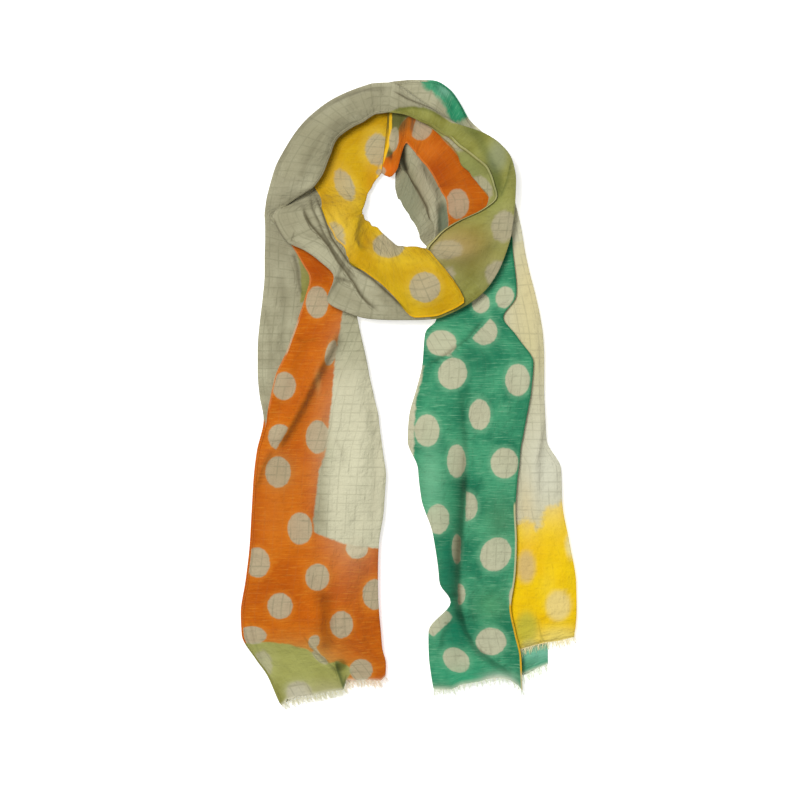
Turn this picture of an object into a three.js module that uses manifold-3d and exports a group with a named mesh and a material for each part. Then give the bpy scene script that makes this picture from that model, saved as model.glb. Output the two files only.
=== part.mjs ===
// A long scarf lying as it would be worn: one printed sheet wound one and a half
// turns, pleated lengthwise, with a fringe at each end.
// Units are mm, +Z is up, and the drawing's x runs right while its y runs down.

import * as THREE from "three";
import ManifoldModule from "manifold-3d";

const CLOTH_THICKNESS = 1.2;
const PLY_PITCH = 3.0;
const END_PITCH = 2.2;
const END_PITCH_REACH = 5;
const FRINGE_GAP = 0.3;
const FRINGE_ROOT = 2.4;
const STRAND_LENGTH = 8.5;
const STRAND_LENGTH_SPREAD = 3.0;
const STRAND_WIDTH = 0.8;
const STRAND_SPACING = 5.4;
const STRAND_YAW_DEG = 7;

const CLOTH_COLOR = 0xbfc0a6;
const LEFT_FRINGE_COLOR = 0xd9702a;
const RIGHT_FRINGE_COLOR = 0x3f9a6c;

// Segments across each ply, from the lowest to the top one, and round each fold.
const PLY_SEGMENTS = [2, 2, 3, 4, 6];
const FOLD_SEGMENTS = 2;
const WIDEST_STEP = 34;
const WIDEST_SWEEP = 28;

// Every section runs across the sheet from its outer fold to its inner side.
// outerX to innerY place it on the drawing. liftOut and liftIn are the heights of its
// underside at both sides, and crown is how far the top ply bulges between them.
// hem1, fold1, fold2, fold4 and hem2 are distances from the outer side, in the order
// in which the sheet runs from the lowest ply to the top one. The third fold is the
// outer side itself, and slip is how far it lags at a slanting end.
const COLUMNS = [
  "outerX", "outerY", "innerX", "innerY", "liftOut", "liftIn", "crown",
  "hem1", "fold1", "fold2", "fold4", "hem2", "slip",
];

const REGIONS = {
  leftTail: [
    [281, 699, 384, 676, 0, 0, 1, 84, 7, 100, 107, 3, 0],
    [269, 679, 384, 663, 0, 0, 3, 90, 6, 110, 118, 3, 0],
    [255, 660, 382.5, 650, 0, 0, 5, 96, 6, 121, 128, 3, 0],
    [241, 636, 381.5, 632, 0, 0, 7, 104, 6, 134, 140, 3, 0],
    [240, 613, 379, 610, 0, 0, 8, 100, 8, 130, 139, 3, 0],
    [245, 580, 378, 578, 0, 0, 9, 98, 6, 126, 133, 3, 0],
    [249, 545, 379.5, 544, 0, 0, 9, 98, 5, 124, 130, 3, 0],
    [251, 510, 384, 510, 0, 0, 8, 98, 6, 124, 133, 3, 0],
    [253, 478, 386, 480, 0, 0, 8, 96, 8, 126, 133, 3, 0],
    [256, 452, 383, 452, 0, 0, 8, 92, 8, 120, 127, 3, 0],
    [263, 420, 379, 420, 0, 0, 7, 84, 6, 108, 116, 4, 0],
  ],
  leftBand: [
    [259, 396, 374, 396, 0, 0, 6, 84, 6, 108, 115, 12, 0],
    [257, 372, 369, 373, 0, 0, 5, 82, 6, 104, 112, 20, 0],
    [257, 348, 364, 348, 0, 0, 3, 78, 6, 99, 107, 31, 0],
    [259, 323, 358, 321, 0, 0, 1, 72, 6, 92, 99, 38, 0],
    [262, 298, 354, 298, 0, 0, 0, 66, 6, 84, 92, 43, 0],
    [264, 274, 346, 282, 0, 0, 0, 58, 5, 74, 82, 46, 0],
    [264, 256, 330, 268, 0, 0, 0, 50, 5, 62, 66, 39, 0],
    [264.5, 241, 310, 252, 0, 0, 0, 38, 4, 46, 46, 30, 0],
    [264.5, 228, 300, 238, 0, 0, 0, 28, 4, 34, 30, 20, 0],
    [264, 215, 290, 219, 3, 3, 0, 18, 3, 21, 10, 4.5, 0],
    [265, 207, 292, 209, 7, 8, 0, 11, 3, 14, 17, 9, 0],
    [266.5, 198, 300, 199, 10, 13, 1, 22, 3, 26, 29, 21, 0],
    [270, 184, 314, 187, 9, 16.5, 3, 33, 3, 36, 44, 37, 0],
  ],
  upperBand: [
    [275, 167, 326, 172, 6, 16, 6, 40, 4, 45, 50, 43, 0],
    [286, 146, 331, 156, 5, 16, 8, 36, 4, 41, 46, 39, 0],
    [304, 121, 339, 139, 5, 16, 8, 30, 4, 34, 39, 32, 0],
    [334, 98, 359, 125, 8, 16, 8, 28, 4, 32, 37, 30, 0],
    [361, 87.5, 370, 119, 12, 16, 7, 28, 4, 29, 33, 26, 0],
    [375, 84, 376, 116, 15, 16, 5, 28, 4, 28, 32, 25, 0],
    [386, 82, 381, 172, 16, 16, 3, 90, 4, 27, 31, 24, 0],
    [402, 88, 397.5, 172, 16, 16, 3, 85, 4, 23, 27, 20, 0],
    [413, 96, 407, 142, 16, 16, 3, 47, 4, 19, 22, 15, 0],
    [426, 105, 416.5, 152, 16, 16, 3, 48, 3, 18, 19, 12, 0],
    [440, 114, 419, 156, 16, 16, 3, 47, 3, 17, 15, 9, 0],
    [457, 124, 424.5, 164, 16, 16, 4, 51, 3, 20, 17, 11, 0],
  ],
  rightBand: [
    [481, 132, 431.5, 173.5, 16, 16, 6, 64, 3, 32, 27, 21, 0],
    [500, 144, 437, 183.5, 16, 16, 7, 74, 4, 44, 30, 24, 0],
    [512, 160, 439, 186.5, 16, 16, 7, 78, 4, 44, 28, 22, 0],
    [516, 180, 440.5, 189.5, 16, 16, 6, 76, 4, 38, 25, 19, 0],
    [515.5, 196, 446, 200, 16, 16, 4, 69, 4, 27, 21, 14, 0],
    [514.5, 210, 446, 210, 16, 16, 4, 67, 4, 30, 33, 26, 0],
    [513, 223, 442, 224, 16, 15, 5, 64, 4, 50, 60, 53, 0],
    [511, 236, 434, 237, 16, 15, 6, 64, 4, 66, 75, 68, 0],
    [507, 250, 426.5, 247, 16, 14, 7, 64, 4, 73, 80.5, 73, 0],
    [500, 268, 426.5, 249, 16, 14, 8, 62, 4, 69, 76, 69, 0],
    [490, 285, 425.5, 248.5, 16, 13, 8, 60, 4, 67, 74, 67, 0],
  ],
  frontLoop: [
    [480, 296, 423, 248, 16, 13, 8, 60, 4, 68, 74, 60, 0],
    [466, 306, 417, 247, 16, 12, 8, 60, 4, 70, 77, 4, 0],
    [450, 314, 411, 246.5, 16, 11, 8, 60, 4, 71, 78, 3, 0],
    [434, 319.5, 404, 246, 16, 10, 8, 62, 4, 72, 79, 3, 0],
    [415, 320.5, 397, 245.5, 16, 10, 8, 60, 4, 70, 77, 3, 0],
    [395, 320.5, 391, 241, 16, 10, 8, 62, 4, 72, 80, 25, 0],
    [371, 319.5, 384, 234, 16, 10, 8, 66, 4, 79, 86, 43, 0],
    [347, 313, 377, 227, 16, 9, 7, 70, 4, 84, 91, 53, 0],
    [327, 300, 371, 223, 16, 8, 7, 66, 4, 80, 88, 52, 0],
    [332, 282, 364.5, 217.5, 16, 8, 7, 54, 4, 64, 72, 36, 0],
    [319, 266, 362.5, 214, 16, 8, 7, 48, 4, 59, 67, 32, 0],
    [302, 253, 363, 212, 16, 8, 7, 56, 4, 66, 73, 39, 0],
  ],
  leftInner: [
    [288, 243, 364, 208, 16, 8, 7, 64, 4, 76, 83, 47, 0],
    [278, 230, 365, 205, 16, 7, 6, 70, 4, 83, 90, 51, 0],
    [275, 216, 366, 201, 14, 6, 5, 72, 4, 85, 92, 49, 0],
    [288, 207, 367, 197, 7.5, 4, 3, 60, 4, 72, 79, 34, 0],
    [303, 197, 369, 191, 2, 1, 1, 48, 4, 58, 66, 15, 0],
    [304, 184, 373, 184, 0, 0, 0, 50, 4, 60, 69, 9, 0],
    [306, 168, 381, 168, 0, 0, 0, 56, 4, 66, 75, 6, 0],
    [315, 147, 387, 150, 0, 0, 0, 54, 4, 63, 72, 6, 0],
    [330, 126, 390.5, 131, 0, 0, 0, 46, 4, 54, 60, 6, 0],
  ],
  underTurn: [
    [349, 109, 389, 116.5, 0, 0, 0, 30, 4, 35, 40, 5, 0],
    [358, 102, 382, 112, 0, 0, 0, 20, 4, 23, 26, 5, 0],
    [366, 97, 378, 106.5, 0, 0, 0, 12, 4, 14, 15, 5, 0],
    [377, 90.5, 381, 101.5, 0, 0, 0, 11, 4, 12, 12, 4.5, 0],
    [391, 84.3, 391.5, 100, 0, 0, 0, 12, 4, 16, 13, 4.5, 0],
    [404, 80.5, 395, 186, 0, 0, 0, 60, 4, 106, 78, 4, 0],
    [412, 79.5, 396, 192, 0, 0, 0, 70, 4, 113, 86, 3, 0],
    [433, 80, 400, 199, 0, 0, 0, 80, 4, 123, 96, 3, 0],
    [450, 88, 404, 205, 0, 0, 0, 84, 4, 125, 101, 3, 0],
    [461, 103, 408, 211, 0, 0, 0, 84, 4, 120, 98, 3, 0],
    [470, 119, 412, 217, 0, 0, 0, 80, 4, 114, 94, 4, 0],
    [484, 132, 415, 223, 0, 0, 0, 80, 4, 114, 96, 6, 0],
    [497, 147, 417, 229, 0, 0, 0, 80, 5, 114, 98, 8, 0],
    [507, 165, 419, 235, 0, 0, 0, 78, 6, 112, 94, 9, 0],
    [512, 187, 421, 240, 0, 0, 0, 76, 8, 105, 90, 10, 0],
    [518, 210, 424, 247, 0, 0, 0, 72, 10, 98, 92, 10, 0],
    [522.5, 231, 427, 256, 0, 0, 0, 70, 12, 92, 95, 11, 0],
  ],
  rightTail: [
    [525.5, 250, 430, 268, 0, 0, 0, 70, 13, 90, 97, 13, 0],
    [530, 271, 432.5, 283, 0, 0, 0, 72, 14, 90, 98, 15, 0],
    [536, 294, 434.5, 302, 0, 0, 0, 74, 15, 94, 102, 20, 0],
    [541, 317, 436, 319.5, 0, 0, 0, 76, 15, 97, 105, 38, 0],
    [544, 338, 425, 333, 0, 0, 3, 84, 14, 110, 119, 27, 0],
    [545, 362, 421.5, 366, 0, 0, 6, 88, 12, 114, 123, 12, 0],
    [545, 390, 415.5, 390, 0, 0, 8, 92, 12, 120, 129, 14, 0],
    [546, 418, 408.5, 416, 0, 0, 8, 96, 12, 127, 137, 20, 0],
    [547.5, 441, 407.5, 441, 0, 0, 8, 98, 12, 130, 140, 26, 0],
    [562, 470, 417.5, 470, 0, 0, 9, 104, 20, 134, 144, 44, 0],
    [563, 503, 420.5, 498, 0, 0, 9, 102, 20, 133, 142, 48, 0],
    [570, 542, 433, 536, 0, 0, 9, 100, 22, 128, 137, 54, 0],
    [577, 583, 438.5, 580, 0, 0, 8, 102, 26, 130, 138, 63, 0],
    [577.5, 610, 450, 603, 0, 0, 7, 96, 28, 121, 127, 67, 0],
    [576.5, 634, 428, 632, 0, 0, 6, 108, 28, 140, 148, 61, 8],
    [576, 656, 428.5, 660, 0, 0, 4, 108, 27, 140, 147, 55, 22],
    [576.5, 682, 433, 686, 0, 0, 1, 104, 27, 136, 143, 54, 42],
  ],
};

// Long ridges of the top ply: each follows a line on the drawing within one region.
const RIDGE_COLUMNS = ["region", "fromX", "fromY", "toX", "toY", "height", "halfWidth"];
const RIDGES = [
  ["leftTail", 290, 424, 338, 340, 4, 12],
  ["leftBand", 290, 424, 338, 340, 4, 12],
  ["leftTail", 316, 600, 324, 650, 3, 12],
  ["upperBand", 300, 150, 380, 98, 3, 8],
  ["rightBand", 500, 170, 470, 250, 3, 10],
  ["frontLoop", 440, 300, 350, 250, 3, 12],
  ["leftInner", 292, 232, 320, 200, 3, 8],
  ["rightTail", 450, 380, 448, 580, 4, 11],
  ["rightTail", 486, 360, 484, 620, 5, 14],
];

/** Turns a table of rows into records named by its columns. */
function records(columns, rows) {
  return rows.map((row) => Object.fromEntries(columns.map((name, i) => [name, row[i]])));
}

/** Distance in the plan from a point to the line between two others. */
function distanceToSegment(x, y, ridge) {
  const dx = ridge.toX - ridge.fromX;
  const dy = ridge.toY - ridge.fromY;
  const along = ((x - ridge.fromX) * dx + (y - ridge.fromY) * dy) / (dx * dx + dy * dy);
  const t = Math.min(1, Math.max(0, along));
  return Math.hypot(x - ridge.fromX - t * dx, y - ridge.fromY - t * dy);
}

const ridges = records(RIDGE_COLUMNS, RIDGES);

/** Height that the ridges of a region add to its top ply at a point of the plan. */
function ridgeHeight(region, x, y) {
  let height = 0;
  for (const ridge of ridges) {
    if (ridge.region !== region) continue;
    const r = distanceToSegment(x, y, ridge) / ridge.halfWidth;
    const part = ridge.height * Math.exp(-r * r);
    height = Math.max(height, part);
  }
  return height;
}

/** The across and level positions of one section, from the first hem to the second. */
function profile(row) {
  const turns = [row.hem1, row.fold1, row.fold2, 0, row.fold4, row.hem2];
  const slants = [0, row.slant1, row.slant2, 1, row.slant4, 0];
  const reach = slants.map((slant, k) => {
    if (slant === 0) return 0;
    const shorter = Math.min(Math.abs(turns[k] - turns[k - 1]), Math.abs(turns[k + 1] - turns[k]));
    return Math.min((row.pitch / 2) * slant, 0.35 * shorter);
  });
  const points = [];
  for (let ply = 0; ply < 5; ply += 1) {
    const inward = turns[ply + 1] > turns[ply] ? 1 : -1;
    const start = turns[ply] + inward * reach[ply];
    const end = turns[ply + 1] - inward * reach[ply + 1];
    const segments = PLY_SEGMENTS[ply];
    for (let k = 0; k <= segments; k += 1) {
      points.push([start + (end - start) * (k / segments), ply]);
    }
    if (ply < 4) {
      for (let k = 1; k < FOLD_SEGMENTS; k += 1) {
        const angle = (Math.PI * k) / FOLD_SEGMENTS;
        const across = end + inward * reach[ply + 1] * Math.sin(angle);
        points.push([across, ply + (1 - Math.cos(angle)) / 2]);
      }
    }
  }
  return points;
}

/** A smooth step from 0 to 1. */
function smooth(t) {
  const s = Math.min(1, Math.max(0, t));
  return s * s * (3 - 2 * s);
}

/** Height of a section's underside: the higher side stays level for half the width. */
function liftAt(row, share) {
  const rises = row.liftIn > row.liftOut;
  const t = rises ? smooth(share / 0.45) : smooth((share - 0.5) / 0.5);
  return row.liftOut + (row.liftIn - row.liftOut) * t;
}

/** The middle surface of the sheet along one section of the table. */
function sectionPoints(row) {
  const outer = new THREE.Vector2(row.outerX, row.outerY);
  const across = new THREE.Vector2(Math.cos(row.angle), Math.sin(row.angle));
  const along = new THREE.Vector2(across.y, -across.x);
  return profile(row).map(([a, level]) => {
    const share = Math.min(1, Math.max(0, a / row.width));
    const lag = level > 3.5 ? 0 : row.slip * Math.max(0, 1 - a / row.fold4) * (level > 1.5 ? 1 : 0.6);
    const x = outer.x + across.x * a - along.x * lag;
    const y = outer.y + across.y * a - along.y * lag;
    const bulge = 4 * share * (1 - share) * row.crown;
    const ridge = level > 3.9 ? ridgeHeight(row.region, x, y) * smooth(row.crown / 6) : 0;
    const base = liftAt(row, share) + CLOTH_THICKNESS / 2;
    const z = base + level * row.pitch + (level / 4) * bulge + ridge;
    return new THREE.Vector3(x, y, z);
  });
}

/** A slope that never overshoots between two neighbouring steps. */
function easySlope(before, after) {
  return before * after <= 0 ? 0 : (2 * before * after) / (before + after);
}

/** The value part of the way between the middle two of four samples. */
function blend(p0, p1, p2, p3, t) {
  const m1 = easySlope(p1 - p0, p2 - p1);
  const m2 = easySlope(p2 - p1, p3 - p2);
  const t2 = t * t;
  const t3 = t2 * t;
  return (2 * t3 - 3 * t2 + 1) * p1 + (t3 - 2 * t2 + t) * m1
    + (3 * t2 - 2 * t3) * p2 + (t3 - t2) * m2;
}

/** The row part of the way between the middle two of four rows. */
function blendRows(p0, p1, p2, p3, t) {
  const row = { region: t < 0.5 ? p1.region : p2.region };
  for (const name of [...COLUMNS, "pitch", "angle", "width"]) {
    row[name] = blend(p0[name], p1[name], p2[name], p3[name], t);
  }
  return row;
}

/** How many steps the sheet takes between two rows. */
function stepsBetween(a, b) {
  const gap = Math.hypot(b.outerX - a.outerX, b.outerY - a.outerY);
  const sweep = Math.max(...["hem1", "fold2", "fold4", "hem2"].map((name) =>
    Math.abs(b[name] - a[name])));
  return Math.max(gap > WIDEST_STEP ? 2 : 1, Math.ceil(sweep / WIDEST_SWEEP));
}

/** All sections of the sheet in order, with in-between ones where the gap is wide. */
function sheetGrid() {
  const rows = Object.entries(REGIONS).flatMap(([region, table]) =>
    records(COLUMNS, table).map((row) => ({ ...row, region })));
  rows.forEach((row, j) => {
    const fromEnd = Math.min(j, rows.length - 1 - j);
    row.pitch = END_PITCH + (PLY_PITCH - END_PITCH) * Math.min(1, fromEnd / END_PITCH_REACH);
  });
  let angle = 0;
  for (const row of rows) {
    const dx = row.innerX - row.outerX;
    const dy = row.innerY - row.outerY;
    const turn = Math.atan2(dy, dx) - angle;
    angle += turn - 2 * Math.PI * Math.round(turn / (2 * Math.PI));
    row.angle = angle;
    row.width = Math.hypot(dx, dy);
  }
  const final = rows.length - 1;
  const all = [];
  for (let j = 0; j < final; j += 1) {
    const around = [Math.max(0, j - 1), j, j + 1, Math.min(final, j + 2)].map((k) => rows[k]);
    const steps = stepsBetween(rows[j], rows[j + 1]);
    for (let step = 0; step < steps; step += 1) {
      all.push(blendRows(...around, step / steps));
    }
  }
  all.push({ ...rows[final] });
  all.forEach((row, j) => {
    const a = all[Math.max(0, j - 1)];
    const b = all[Math.min(all.length - 1, j + 1)];
    const gap = Math.hypot(b.outerX - a.outerX, b.outerY - a.outerY);
    row.slant1 = Math.hypot(1, (b.fold1 - a.fold1) / gap);
    row.slant2 = Math.hypot(1, (b.fold2 - a.fold2) / gap);
    row.slant4 = Math.hypot(1, (b.fold4 - a.fold4) / gap);
  });
  const sections = all.map(sectionPoints);
  // The drawing's y runs down, so it's turned over here, once.
  return sections.map((section) => section.map((p) => new THREE.Vector3(p.x, -p.y, p.z)));
}

/** Unit normals of a grid of points, averaged over the faces round each point. */
function gridNormals(grid) {
  const normals = grid.map((section) => section.map(() => new THREE.Vector3()));
  const u = new THREE.Vector3();
  const v = new THREE.Vector3();
  for (let j = 0; j < grid.length - 1; j += 1) {
    for (let i = 0; i < grid[j].length - 1; i += 1) {
      u.subVectors(grid[j + 1][i + 1], grid[j][i]);
      v.subVectors(grid[j][i + 1], grid[j + 1][i]);
      const face = u.clone().cross(v).normalize();
      for (const [dj, di] of [[0, 0], [1, 0], [0, 1], [1, 1]]) {
        normals[j + dj][i + di].add(face);
      }
    }
  }
  return normals.map((section) => section.map((n) => n.normalize()));
}

/** A closed solid between two grids of points, one on each side of the sheet. */
function closedShell(upper, lower) {
  const across = upper[0].length;
  const count = upper.length * across;
  const positions = [...upper.flat(), ...lower.flat()].flatMap((p) => [p.x, p.y, p.z]);
  const index = [];
  const quad = (a, b, c, d) => index.push(a, b, c, a, c, d);
  const at = (j, i) => j * across + i;
  for (let j = 0; j < upper.length - 1; j += 1) {
    for (let i = 0; i < across - 1; i += 1) {
      quad(at(j, i), at(j + 1, i), at(j + 1, i + 1), at(j, i + 1));
      quad(count + at(j, i), count + at(j, i + 1), count + at(j + 1, i + 1), count + at(j + 1, i));
    }
    quad(at(j, 0), count + at(j, 0), count + at(j + 1, 0), at(j + 1, 0));
    const e = across - 1;
    quad(at(j, e), at(j + 1, e), count + at(j + 1, e), count + at(j, e));
  }
  const last = upper.length - 1;
  for (let i = 0; i < across - 1; i += 1) {
    quad(at(0, i), at(0, i + 1), count + at(0, i + 1), count + at(0, i));
    quad(at(last, i), count + at(last, i), count + at(last, i + 1), at(last, i + 1));
  }
  const geometry = new THREE.BufferGeometry();
  geometry.setAttribute("position", new THREE.Float32BufferAttribute(positions, 3));
  geometry.setIndex(index);
  return geometry;
}

/** Turns the winding over when a closed geometry's volume comes out negative. */
function facingOut(geometry) {
  const p = geometry.attributes.position;
  const index = Array.from(geometry.index.array);
  const a = new THREE.Vector3();
  const b = new THREE.Vector3();
  const c = new THREE.Vector3();
  let volume = 0;
  for (let k = 0; k < index.length; k += 3) {
    a.fromBufferAttribute(p, index[k]);
    b.fromBufferAttribute(p, index[k + 1]);
    c.fromBufferAttribute(p, index[k + 2]);
    volume += a.dot(b.clone().cross(c)) / 6;
  }
  if (volume < 0) {
    for (let k = 0; k < index.length; k += 3) {
      [index[k + 1], index[k + 2]] = [index[k + 2], index[k + 1]];
    }
    geometry.setIndex(index);
  }
  return geometry;
}

/** Small repeatable numbers between 0 and 1. */
function repeatable(seed) {
  let state = seed;
  return () => {
    state = (state * 16807) % 2147483647;
    return state / 2147483647;
  };
}

const grid = sheetGrid();
const normals = gridNormals(grid);
const half = CLOTH_THICKNESS / 2;
const offset = (sign) => grid.map((section, j) =>
  section.map((p, i) => p.clone().addScaledVector(normals[j][i], sign * half)));
const upper = offset(1);
const lower = offset(-1);

const wasm = await ManifoldModule();
wasm.setup();

/** A manifold solid from an indexed geometry. */
function toManifold(geometry) {
  return new wasm.Manifold(new wasm.Mesh({
    numProp: 3,
    vertProperties: new Float32Array(geometry.attributes.position.array),
    triVerts: new Uint32Array(geometry.index.array),
  }));
}

/** A geometry from a manifold solid. */
function toGeometry(solid) {
  const mesh = solid.getMesh();
  const geometry = new THREE.BufferGeometry();
  const positions = [];
  for (let k = 0; k < mesh.numVert; k += 1) {
    positions.push(...mesh.vertProperties.slice(k * mesh.numProp, k * mesh.numProp + 3));
  }
  geometry.setAttribute("position", new THREE.Float32BufferAttribute(positions, 3));
  geometry.setIndex(Array.from(mesh.triVerts));
  return geometry;
}

/** One loose thread: a square prism from a root point along a direction. */
function strand(root, direction, length) {
  const side = new THREE.Vector3(-direction.y, direction.x, 0);
  const up = new THREE.Vector3(0, 0, 1);
  const ring = (centre, size) => [[1, 1], [-1, 1], [-1, -1], [1, -1]].map(([s, t]) =>
    centre.clone().addScaledVector(side, (s * size) / 2).addScaledVector(up, (t * size) / 2));
  const tip = root.clone().addScaledVector(direction, length);
  const near = ring(root, STRAND_WIDTH);
  const far = ring(tip, STRAND_WIDTH * 0.6);
  const geometry = new THREE.BufferGeometry();
  const positions = [...near, ...far].flatMap((p) => [p.x, p.y, p.z]);
  geometry.setAttribute("position", new THREE.Float32BufferAttribute(positions, 3));
  const index = [0, 1, 2, 0, 2, 3, 4, 6, 5, 4, 7, 6];
  for (let k = 0; k < 4; k += 1) {
    const n = (k + 1) % 4;
    index.push(k, 4 + k, 4 + n, k, 4 + n, n);
  }
  geometry.setIndex(index);
  return facingOut(geometry);
}

/** The fringe of one end: a root strip shaped as the folded edge, and its threads. */
function fringe(edge, next, seed) {
  const first = grid[edge][0];
  const outward = new THREE.Vector3();
  grid[edge].forEach((p, i) => outward.add(p.clone().sub(grid[next][i])));
  outward.setZ(0).normalize();
  const shift = (rows, distance) => rows[edge].map((p) =>
    p.clone().addScaledVector(outward, distance));
  const root = facingOut(closedShell(
    [shift(upper, FRINGE_GAP), shift(upper, FRINGE_GAP + FRINGE_ROOT)],
    [shift(lower, FRINGE_GAP), shift(lower, FRINGE_GAP + FRINGE_ROOT)],
  ));
  const random = repeatable(seed);
  const solids = [toManifold(root)];
  let travelled = STRAND_SPACING / 2;
  for (let i = 0; i < grid[edge].length - 1; i += 1) {
    const a = grid[edge][i];
    const b = grid[edge][i + 1];
    const length = Math.hypot(b.x - a.x, b.y - a.y);
    if (Math.abs(b.z - a.z) > 0.35 * PLY_PITCH) continue;
    for (; travelled < length; travelled += STRAND_SPACING) {
      const start = a.clone().lerp(b, travelled / length);
      start.addScaledVector(outward, FRINGE_GAP + FRINGE_ROOT * 0.4);
      const yaw = THREE.MathUtils.degToRad(STRAND_YAW_DEG) * (2 * random() - 1);
      const direction = outward.clone().applyAxisAngle(new THREE.Vector3(0, 0, 1), yaw);
      const reach = STRAND_LENGTH + STRAND_LENGTH_SPREAD * (random() - 0.5);
      solids.push(toManifold(strand(start, direction, reach)));
    }
    travelled -= length;
  }
  return toGeometry(wasm.Manifold.union(solids));
}

/** A named mesh with its own plain material. */
function piece(name, geometry, color) {
  const mesh = new THREE.Mesh(geometry, new THREE.MeshStandardMaterial({ color, roughness: 0.9 }));
  mesh.name = name;
  return mesh;
}

const last = grid.length - 1;
const scarf = new THREE.Group();
scarf.name = "long_scarf";
scarf.add(piece("scarf_cloth", facingOut(closedShell(upper, lower)), CLOTH_COLOR));
scarf.add(piece("fringe_left_end", fringe(0, 1, 7), LEFT_FRINGE_COLOR));
scarf.add(piece("fringe_right_end", fringe(last, last - 1, 11), RIGHT_FRINGE_COLOR));

// The origin is under the middle of the whole, on the floor.
const box = new THREE.Box3().setFromObject(scarf);
const middle = box.getCenter(new THREE.Vector3());
for (const mesh of scarf.children) {
  mesh.geometry.translate(-middle.x, -middle.y, -box.min.z);
}

export default scarf;
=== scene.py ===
"""A long printed scarf laid flat as it would be worn, with a fringe at each end.

Lengths are in millimetres on the drawing, whose x runs right and y runs down, and in
metres everywhere else. The sheet's five plies have levels from 0, the lowest, to 4.
"""

import logging
import math
from collections.abc import Callable
from dataclasses import dataclass, field
from enum import Enum, IntEnum

import bpy
import numpy as np
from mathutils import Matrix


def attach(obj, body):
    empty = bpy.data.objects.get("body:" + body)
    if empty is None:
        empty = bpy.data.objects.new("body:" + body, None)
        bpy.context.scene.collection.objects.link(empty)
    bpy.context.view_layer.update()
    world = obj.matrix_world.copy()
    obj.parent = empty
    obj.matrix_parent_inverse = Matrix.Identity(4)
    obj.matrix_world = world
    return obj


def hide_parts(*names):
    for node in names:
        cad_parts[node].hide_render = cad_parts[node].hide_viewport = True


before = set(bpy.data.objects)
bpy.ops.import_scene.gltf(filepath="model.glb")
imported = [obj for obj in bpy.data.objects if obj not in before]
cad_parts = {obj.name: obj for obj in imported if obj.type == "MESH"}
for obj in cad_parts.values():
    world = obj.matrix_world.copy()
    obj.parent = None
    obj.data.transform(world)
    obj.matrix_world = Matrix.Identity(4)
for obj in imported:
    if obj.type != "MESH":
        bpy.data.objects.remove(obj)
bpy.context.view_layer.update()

LOG = logging.getLogger("scarf")

Point = tuple[float, float]
Line = tuple[Point, ...]
Tone = tuple[int, int, int]
Colour = tuple[float, float, float, float]
Grid = np.ndarray
Socket = bpy.types.NodeSocket

# The drawing's point that lies over the origin, and the middle of its frame.
CENTRE_X = 408.75
CENTRE_Y = 393.53
FRAME_MIDDLE = 400.0

# Levels between plies: below the top ply, at the outer fold, and further down.
UNDER_TOP = 3.5
OUTER_FOLD = 2.5
SIDE_SEEN = 1.9
MIDDLE = 1.5
FIRST_FOLD = 1.0
ABOVE_LOWEST = 0.5


class Region(IntEnum):
    """The stretches of the strip, in the order in which it is laid."""

    LEFT_TAIL = 0
    LEFT_BAND = 1
    UPPER_BAND = 2
    RIGHT_BAND = 3
    FRONT_LOOP = 4
    LEFT_INNER = 5
    UNDER_TURN = 6
    RIGHT_TAIL = 7


class Zone(IntEnum):
    """The surfaces of the folded strip that take their print together."""

    LEFT_TOP = 0
    LEFT_SIDE = 1
    WRAP = 2
    WRAP_LOW = 3
    INNER = 4
    FLAP = 5
    LOWER = 6
    LOWER_SIDE = 7
    RIGHT_TOP = 8
    RIGHT_SIDE = 9
    RIGHT_UNDER = 10


class Dye(Enum):
    """The dyed colours, each held on the cloth as a distance to its edge."""

    ORANGE = "orange"
    GOLD = "gold"
    YELLOW = "yellow"
    GREEN = "green"
    OLIVE = "olive"


# Stretches that pleats run over together.
TAIL_A = (Region.LEFT_TAIL, Region.LEFT_BAND)
TAIL_B = (Region.UNDER_TURN, Region.RIGHT_TAIL)
BAND = (Region.UPPER_BAND, Region.RIGHT_BAND)
LOOP = (Region.FRONT_LOOP, Region.LEFT_INNER)
TURN = (Region.UNDER_TURN,)

# Each stretch's zones, with the level from which each one starts.
LEFT_ZONES = ((0, Zone.LEFT_SIDE), (UNDER_TOP, Zone.LEFT_TOP))
BAND_ZONES = ((0, Zone.INNER), (ABOVE_LOWEST, Zone.WRAP_LOW), (OUTER_FOLD, Zone.WRAP))
ZONES = {
    Region.LEFT_TAIL: LEFT_ZONES,
    Region.LEFT_BAND: LEFT_ZONES,
    Region.UPPER_BAND: BAND_ZONES,
    Region.RIGHT_BAND: BAND_ZONES,
    Region.FRONT_LOOP: (*BAND_ZONES, (UNDER_TOP, Zone.FLAP)),
    Region.LEFT_INNER: ((0, Zone.WRAP), (UNDER_TOP, Zone.FLAP)),
    Region.UNDER_TURN: ((0, Zone.LOWER_SIDE), (UNDER_TOP, Zone.LOWER)),
    Region.RIGHT_TAIL: (
        (0, Zone.RIGHT_UNDER), (SIDE_SEEN, Zone.RIGHT_SIDE), (UNDER_TOP, Zone.RIGHT_TOP),
    ),
}

# Every section runs across the sheet from its outer fold to its inner side, as in the
# part's source: the two sides, the heights of its underside, its crown, and the hems
# and folds measured from the outer side. Slip is how far the hidden plies trail along
# the strip at the outer side, and a row that ends before it has none.
COLUMNS = (
    "outer_x", "outer_y", "inner_x", "inner_y", "lift_out", "lift_in", "crown",
    "hem1", "fold1", "fold2", "fold4", "hem2", "slip",
)

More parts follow.
